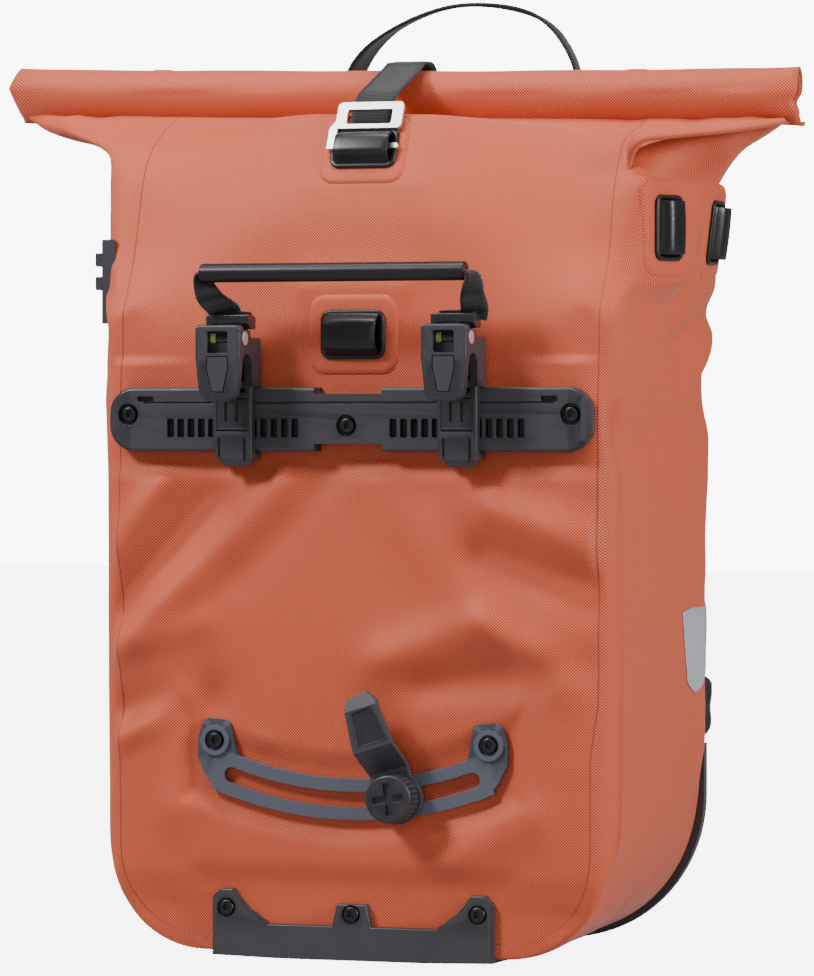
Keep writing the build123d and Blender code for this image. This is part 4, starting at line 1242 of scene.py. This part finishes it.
def make_grip_webbing(materials):
    """The grip's webbing: out of the tube's ends, turning face-on as it drops onto the lever bars."""
    steps, bar_y = 20, -0.1105
    count = 3 * steps + 1
    for word in ("left", "right"):
        low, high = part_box("hook_lever_" + word)
        bar_x, bar_z = (low.x + high.x) / 2, high.z
        centres, sides, widths = grip_web_route(word, bar_x, bar_y, bar_z)
        path = smooth_path([(*c, *d) for c, d in zip(centres, sides)], count)
        widths = np.interp(np.arange(count), [0, 16, 26, 38, 52, 60], widths)
        tangents = unit(np.gradient(path[:, :3], axis=0))
        across = squared_to(path[:, 3:], tangents)
        spread = np.linspace(-1, 1, WEB_COLUMNS)
        whole = path[:, None, :3] + across[:, None] * spread[None, :, None] * widths[:, None, None]
        bodies = (("carry_handle", ROOT), (ROOT, "hook_" + word), ("hook_" + word, "lever_" + word))
        for number, (first, second) in enumerate(bodies):
            stretch = slice(number * steps, (number + 1) * steps + 1)
            strip = slab(f"grip_web_{word}_{number + 1}", whole[stretch], WEB_THICK, materials["webbing"],
                         number * 0.02)
            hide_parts("grip_webbing")
            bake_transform(strip)
        wrap = [(bar_x, bar_y + 0.0030, bar_z + 0.0009), (bar_x, bar_y + 0.0052, bar_z + 0.0001),
                (bar_x, bar_y + 0.0068, bar_z - 0.0030), (bar_x, bar_y + 0.0062, bar_z - 0.0075)]
        turn = band(f"grip_web_{word}_wrap", wrap, (1, 0, 0), 0.0112, materials["webbing"], count=24)
        declare(turn, "webbing", "lever_" + word, "grip_webbing")


def make_grab_handle(materials):
    """The carrying loop behind the roll, its webbing turning as it rises."""
    low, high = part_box("grab_handle")
    y = (low.y + high.y) / 2
    half, crown = (high.x - low.x) / 2 - 0.002, high.z
    centres = [(-half, y, low.z + 0.002), (-half - 0.001, y, 0.440), (-half - 0.006, y, 0.500),
               (-half - 0.001, y, 0.533), (-0.047, y, 0.557), (-0.004, y, crown - 0.002), (0.044, y, 0.562),
               (half - 0.004, y, 0.535), (half, y, 0.500), (half, y, 0.440), (half, y, low.z + 0.002)]
    sides = [(0, 1, 0), (0.05, 1, 0), (0.10, 1, 0.0), (0.14, 0.96, 0.1), (0.12, 0.92, 0.2), (0, 1, 0.1),
             (0, 1, -0.1), (-0.15, 1, 0), (-0.15, 1, 0), (-0.1, 1, 0), (0, 1, 0)]
    handle = band("grab_loop", centres, sides, WEB_HALF, materials["webbing"], thick=0.0026, count=120)
    declare(handle, "webbing", "grab_handle", "grab_handle")


# harness -----------------------------------------------------------------------------------

def cushion(name, outline, y_back, y_front, material, puff, rings=12):
    """A padded slab seen from the rear: a bound rim, then cushioning that swells to the middle."""
    outline = [Vector(p) for p in outline]
    middle = sum(outline, Vector((0, 0))) / len(outline)
    deep = y_front - y_back
    profile = [(1.0, 0.0), (1.0, deep * 0.42), (0.992, deep * 0.56), (0.975, deep * 0.60),
               (0.955, deep * 0.50), (0.935, deep * 0.60)]
    for k in range(1, rings):
        share = k / rings
        swell = 0.60 + 0.40 * math.sin(math.pi / 2 * min(1, share * 2.2))
        profile.append((0.935 * (1 - share), deep * swell + puff * share))
    points, flat = [], []
    for scale, height in profile:
        for p in outline:
            q = middle + (p - middle) * scale
            ripple = 0.0006 * math.sin(q.x * 310 + 1.3) * math.sin(q.y * 270) if scale < 0.9 else 0.0
            points.append((q.x, y_back + height + ripple, q.y))
            flat.append((q.x, q.y))
    count = len(outline)
    faces = [(a, d, c, b) for a, b, c, d in ring_faces(len(profile), count)]
    faces.append(tuple((len(profile) - 1) * count + i for i in reversed(range(count))))
    faces.append(tuple(range(count)))
    uvs = [flat[v] for face in faces for v in face]
    return new_piece(name, points, faces, {"cloth": uvs}, material)


def box_outline(node, radius, side=0):
    """A rounded rectangle over a node's width and height, or over one half of it."""
    low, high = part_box(node)
    x0, x1 = low.x, high.x
    if side:
        inner = 0.020
        x0, x1 = (inner, high.x) if side > 0 else (low.x, -inner)
    ring = rounded_rectangle((x1 - x0) / 2, (high.z - low.z) / 2, radius, 8)
    middle_x, middle_z, spacing = (x0 + x1) / 2, (low.z + high.z) / 2, 0.008
    dense = []
    for (a, b), (c, d) in zip(ring, ring[1:] + ring[:1]):
        steps = max(1, int(math.hypot(c - a, d - b) / spacing))
        for k in range(steps):
            dense.append((middle_x + a + (c - a) * k / steps, middle_z + b + (d - b) * k / steps))
    return dense


def make_pads(materials):
    """The two back pads and the yoke between the shoulder straps."""
    low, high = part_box("back_pads")
    for word, way in (("left", -1), ("right", 1)):
        outline = box_outline("back_pads", 0.022, way)
        pad = cushion("back_pad_" + word, outline, low.y, high.y - 0.002, materials["pad"], 0.002)
        declare(pad, "padding", ROOT, "back_pads")
    low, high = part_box("harness_yoke")
    outline = box_outline("harness_yoke", 0.010)
    yoke = cushion("yoke", outline, low.y, high.y - 0.003, materials["webbing"], 0.001)
    declare(yoke, "webbing", ROOT, "harness_yoke")


def make_shoulder_straps(materials):
    """Padded straps, bound along both edges, arching from the yoke to the ladder locks."""
    spine = [(0.1105, 0.3755), (0.1185, 0.340), (0.1262, 0.285), (0.1170, 0.225), (0.1068, 0.188)]
    across = [(0.018, 0.064), (0.0255, 0.079), (0.0415, 0.0935), (0.0490, 0.0958), (0.052, 0.094)]
    rows, columns = 70, 21
    path = smooth_path([(y, z, a, b) for (y, z), (a, b) in zip(spine, across)], rows)
    spread = np.linspace(0, 1, columns)
    from_end = np.minimum(np.arange(rows), rows - 1 - np.arange(rows))
    lengthwise = np.clip(from_end / 4, 0.35, 1.0)
    profile = 0.0088 * np.clip(np.sin(np.pi * spread), 0, 1) ** 0.35 + 0.0012
    profile[[0, 1, -2, -1]] = [0.0026, 0.0034, 0.0034, 0.0026]
    for word, way in (("left", -1), ("right", 1)):
        grid = np.zeros((rows, columns, 3))
        for i, (y, z, a, b) in enumerate(path):
            x = a + (b - a) * spread
            bowed = np.full(columns, y) - 0.0015 * (2 * spread - 1) ** 2
            grid[i] = np.stack([way * x, bowed, np.full(columns, z)], 1)
        name = "shoulder_strap_" + word
        strap = slab(name + "_pad", grid, profile[None] * lengthwise[:, None], materials["pad"])
        declare(strap, "padding", ROOT, name)
        line = [((0.0042 * way + way * (a + b) / 2), y + 0.0062, z) for y, z, a, b in path[4:66:6]]
        tape = band(name + "_tape", line, (1, 0, 0), 0.0125, materials["webbing"], count=50)
        declare(tape, "webbing", ROOT)


def make_hip_parts(materials):
    """On each side: the hip fin's pad, the hip webbing over it and the lower webbing below it."""
    corners = [(0.097, 0.168), (0.152, 0.160), (0.156, 0.142), (0.150, 0.122), (0.097, 0.114)]
    ring = smooth_path([(*corners[i % 5], 0) for i in range(6)], 61)[:-1]
    lower_route = [(0.1058, 0.160), (0.1056, 0.140), (0.1056, 0.098), (0.1030, 0.076), (0.0998, 0.060),
                   (0.0995, 0.030), (0.0995, 0.006)]
    for word, way in (("left", -1), ("right", 1)):
        node = "hip_fin_" + word
        low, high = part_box(node)
        outline = [(min(max(x, 0.0965), 0.157) * way, z) for x, z, _ in ring]
        if way < 0:
            outline.reverse()
        pad = cushion(node + "_pad", outline, low.y, high.y - 0.001, materials["pad"], 0.0008, 8)
        declare(pad, "padding", ROOT, node)
        y, z = low.y + 0.0072, 0.1415
        inner = -0.020 if way < 0 else 0.030
        xs = np.linspace(way * 0.100, inner, 7)
        centres = [(x, y + 0.0010 * math.sin(i * 1.1), z) for i, x in enumerate(xs)]
        web = band("hip_web_" + word, centres, (0, 0, 1), WEB_HALF, materials["webbing"], count=40)
        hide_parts("hip_webbing")
        if way > 0:
            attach(web, ROOT)
        else:
            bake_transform(web)
        centres = [(way * 0.0785, back, height) for back, height in lower_route]
        lower = band("lower_web_" + word, centres, (1, 0, 0), WEB_HALF, materials["webbing"])
        declare(lower, "webbing", ROOT, "lower_webbing")


# build -------------------------------------------------------------------------------------

add_camera()
MATERIALS = make_materials()
add_studio()
add_floor()
paint_frame(MATERIALS)
shell = make_shell(MATERIALS)
make_roll(MATERIALS)
make_loops(shell, MATERIALS)
settled = shell_tree(shell)
make_reflectors(settled, MATERIALS)
make_fold(settled, MATERIALS)
make_closure_strap(MATERIALS)
make_grip_webbing(MATERIALS)
make_grab_handle(MATERIALS)
make_pads(MATERIALS)
make_shoulder_straps(MATERIALS)
make_hip_parts(MATERIALS)
